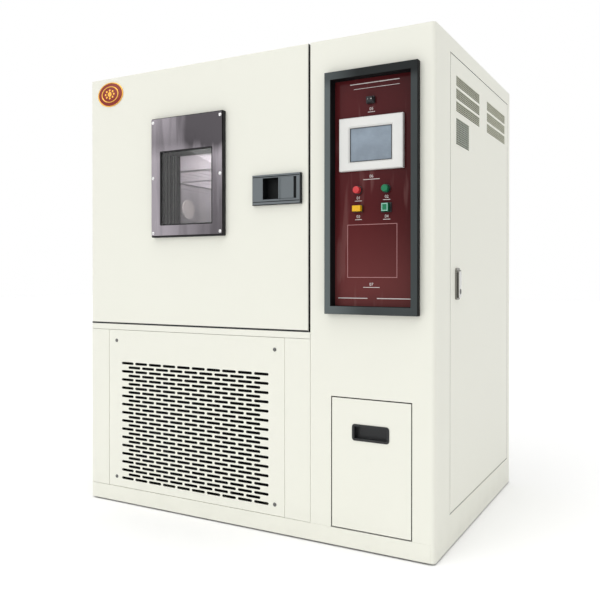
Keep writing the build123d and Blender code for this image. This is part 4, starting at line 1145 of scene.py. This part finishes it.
class CHAMBER_OT_vent_screens(Step, bpy.types.Operator):
    """Perforate the screens behind the vents of the service door"""

    bl_idname = "chamber.vent_screens"
    bl_label = "Vent screens"

    fields = tuple(
        (y0, y1, z0, z1)
        for y0, y1 in ((-261, 5), (103, 369))
        for z0, z1 in ((1310, 1341), (1348.5, 1379.5), (1387, 1418))
    ) + ((-261, -120, 1210.5, 1290.5),)

    def screen(self, number, y0, y1, z0, z1, cell_y, cell_z, bar):
        """One perforated sheet, a cell larger than its vent on each side."""
        across = round((y1 - y0) / cell_y) + 2
        down = round((z1 - z0) / cell_z) + 2
        step_y, step_z = (y1 - y0) / (across - 2), (z1 - z0) / (down - 2)
        let_go()
        inner_face = SIDE_FACE - 2.2 * MM
        bpy.ops.mesh.primitive_grid_add(
            x_subdivisions=down, y_subdivisions=across, size=1,
            location=(inner_face, (y0 + y1) / 2 * MM, (z0 + z1) / 2 * MM),
            rotation=(0, math.radians(90), 0),
        )
        sheet = bpy.context.active_object
        sheet.name = f"vent_screen_{number}"
        sheet.scale = (step_z * down * MM, step_y * across * MM, 1)
        settle(sheet)
        edit_faces(sheet, lambda face: True)
        bpy.ops.mesh.inset(thickness=bar / 2 * MM, use_individual=True)
        bpy.ops.mesh.delete(type="FACE")
        leave_edit()
        modify(sheet, "SOLIDIFY", thickness=1.2 * MM, offset=-1)
        return sheet

    def build(self):
        cell = sizes().mesh_cell / MM
        for number, field in enumerate(self.fields[:-1], 1):
            front_column = field[0] < 0
            cells = (cell * 3.6, cell * 0.84, 2.9) if front_column else (cell, cell * 0.84, 2.2)
            sheet = self.screen(number, *field, *cells)
            wear(sheet, "service_door", "vent_paint", instead_of=("vent_screens",))
        guard = self.screen(len(self.fields), *self.fields[-1], cell * 2.2, cell * 0.9, 2.9)
        wear(guard, "service_door", "fan_guard", instead_of=("vent_screens",))


class CHAMBER_OT_electrical_panel(Step, bpy.types.Operator):
    """Tell plate, contactors, relays and power units of the electrical panel apart"""

    bl_idname = "chamber.electrical_panel"
    bl_label = "Electrical panel"

    plate_face = 0.2672
    devices = (
        ("black_plastic", ((-1.0, -0.04), (0.88, 0.98))),
        ("stainless", ((-1.0, -0.005), (1.14, 1.30)), ((0.018, 0.152), (0.86, 1.0))),
        ("soft_white", ((0.038, 0.18), (1.17, 1.27))),
    )

    def build(self):
        piece = dress("electrical_panel", 0.5, "device_plastic")
        touch_up(piece, "zinc_plate", lambda face: face.center.x < self.plate_face)
        for finish, *fields in self.devices:
            touch_up(piece, finish, lambda face: self.on_device(face, fields))

    def on_device(self, face, fields):
        """A face of a device whose middle lies in one of these fields (y, z) of the plate."""
        return any(within(face, x=(self.plate_face, 1.0), y=y, z=z) for y, z in fields)


class CHAMBER_OT_side_lock(Step, bpy.types.Operator):
    """Round the lock of the service door"""

    bl_idname = "chamber.side_lock"
    bl_label = "Side lock"

    def build(self):
        dress("lock_plate", 0.5, "lock_dark")
        handle = dress("lock_handle", 0.5, "lock_chrome")
        touch_up(handle, "lock_dark", lambda face: abs(face.normal.x) < 0.5)
        dress("lock_button", 0.5, "black_plastic")


class CHAMBER_OT_stage(Step, bpy.types.Operator):
    """Lay the floor, light the chamber and place the camera of the product view"""

    bl_idname = "chamber.stage"
    bl_label = "Stage"

    camera_place = (1.27578, -2.35771, 0.81363)
    camera_turn = (math.radians(90 - 0.378), 0, math.radians(28.531))
    sky_level = 0.50
    lamps = (
        ("front_lamp", (-0.40, -0.80, 0.45), 0.58, 40),
        ("side_lamp", (0.85, -0.25, 0.45), 0.01, 40),
        ("top_lamp", (0.05, -0.10, 1.0), 1.60, 60),
    )

    def floor(self):
        let_go()
        bpy.ops.mesh.primitive_plane_add(size=40, location=(0, 0, 0))
        floor = bpy.context.active_object
        floor.name = "studio_floor"
        cloth = Finish("studio_floor")
        rough = 0.7 + cloth.noise(3, 2) * 0.2
        floor.data.materials.append(
            cloth.done(Base_Color=(0.995, 0.995, 0.995), Roughness=rough, Specular_IOR_Level=0.1)
        )

    def sky(self, scene):
        """Even white light. The camera, glossy surfaces and glass see it as plain white."""
        world = bpy.data.worlds.new("studio_sky")
        scene.world = world
        world.use_nodes = True
        tree = world.node_tree
        background = next(n for n in tree.nodes if n.type == "BACKGROUND")
        path = tree.nodes.new("ShaderNodeLightPath")
        seen = path.outputs["Is Camera Ray"]
        for kind in ("Is Transmission Ray", "Is Glossy Ray"):
            both = tree.nodes.new("ShaderNodeMath")
            both.operation = "ADD"
            both.use_clamp = True
            tree.links.new(seen, both.inputs[0])
            tree.links.new(path.outputs[kind], both.inputs[1])
            seen = both.outputs[0]
        strength = tree.nodes.new("ShaderNodeMapRange")
        strength.inputs["To Min"].default_value = self.sky_level
        strength.inputs["To Max"].default_value = 1.0
        tree.links.new(seen, strength.inputs["Value"])
        tree.links.new(strength.outputs[0], background.inputs["Strength"])
        background.inputs["Color"].default_value = (1, 1, 1, 1)

    def build(self):
        scene = bpy.context.scene
        scene.view_settings.view_transform = "Standard"
        self.floor()
        self.sky(scene)
        for name, toward, strength, spread in self.lamps:
            let_go()
            bpy.ops.object.light_add(type="SUN", location=(0, 0, 4))
            lamp = bpy.context.active_object
            lamp.name = name
            lamp.data.energy = strength
            lamp.data.angle = math.radians(spread)
            lamp.rotation_euler = Vector(toward).to_track_quat("Z", "Y").to_euler()
        bpy.ops.object.camera_add(location=self.camera_place, rotation=self.camera_turn)
        camera = bpy.context.active_object
        camera.name = "product_camera"
        camera.data.lens = 42.415
        camera.data.sensor_width = 36
        camera.data.shift_x = -0.01153
        camera.data.shift_y = -0.0338
        scene.camera = camera


class CHAMBER_PT_panel(bpy.types.Panel):
    """Sidebar panel with the chamber's steps"""

    bl_idname = "CHAMBER_PT_panel"
    bl_label = "Environmental test chamber"
    bl_space_type = "VIEW_3D"
    bl_region_type = "UI"
    bl_category = "Chamber"

    def draw(self, context):
        column = self.layout.column()
        for operator in OPERATORS:
            column.operator(operator.bl_idname, text=operator.bl_label)
        for group in (context.scene.chamber_sizes, context.scene.chamber_colours):
            for key in group.bl_rna.properties.keys():
                if key not in ("rna_type", "name"):
                    column.prop(group, key)


OPERATORS = (
    CHAMBER_OT_finishes,
    CHAMBER_OT_painted_sheets,
    CHAMBER_OT_intake_grille,
    CHAMBER_OT_screws,
    CHAMBER_OT_rear_screws,
    CHAMBER_OT_window_trim,
    CHAMBER_OT_latch,
    CHAMBER_OT_badge,
    CHAMBER_OT_control_frame,
    CHAMBER_OT_display,
    CHAMBER_OT_push_buttons,
    CHAMBER_OT_panel_marks,
    CHAMBER_OT_drawer_pull,
    CHAMBER_OT_vent_screens,
    CHAMBER_OT_electrical_panel,
    CHAMBER_OT_side_lock,
    CHAMBER_OT_stage,
)
CLASSES = (ChamberSizes, ChamberColours, *OPERATORS, CHAMBER_PT_panel)


def register():
    for cls in CLASSES:
        bpy.utils.register_class(cls)
    bpy.types.Scene.chamber_sizes = bpy.props.PointerProperty(type=ChamberSizes)
    bpy.types.Scene.chamber_colours = bpy.props.PointerProperty(type=ChamberColours)


def unregister():
    del bpy.types.Scene.chamber_colours
    del bpy.types.Scene.chamber_sizes
    for cls in reversed(CLASSES):
        bpy.utils.unregister_class(cls)


def main():
    register()
    for operator in OPERATORS:
        group, name = operator.bl_idname.split(".")
        getattr(getattr(bpy.ops, group), name)()
    let_go()


if __name__ == "__main__":
    main()
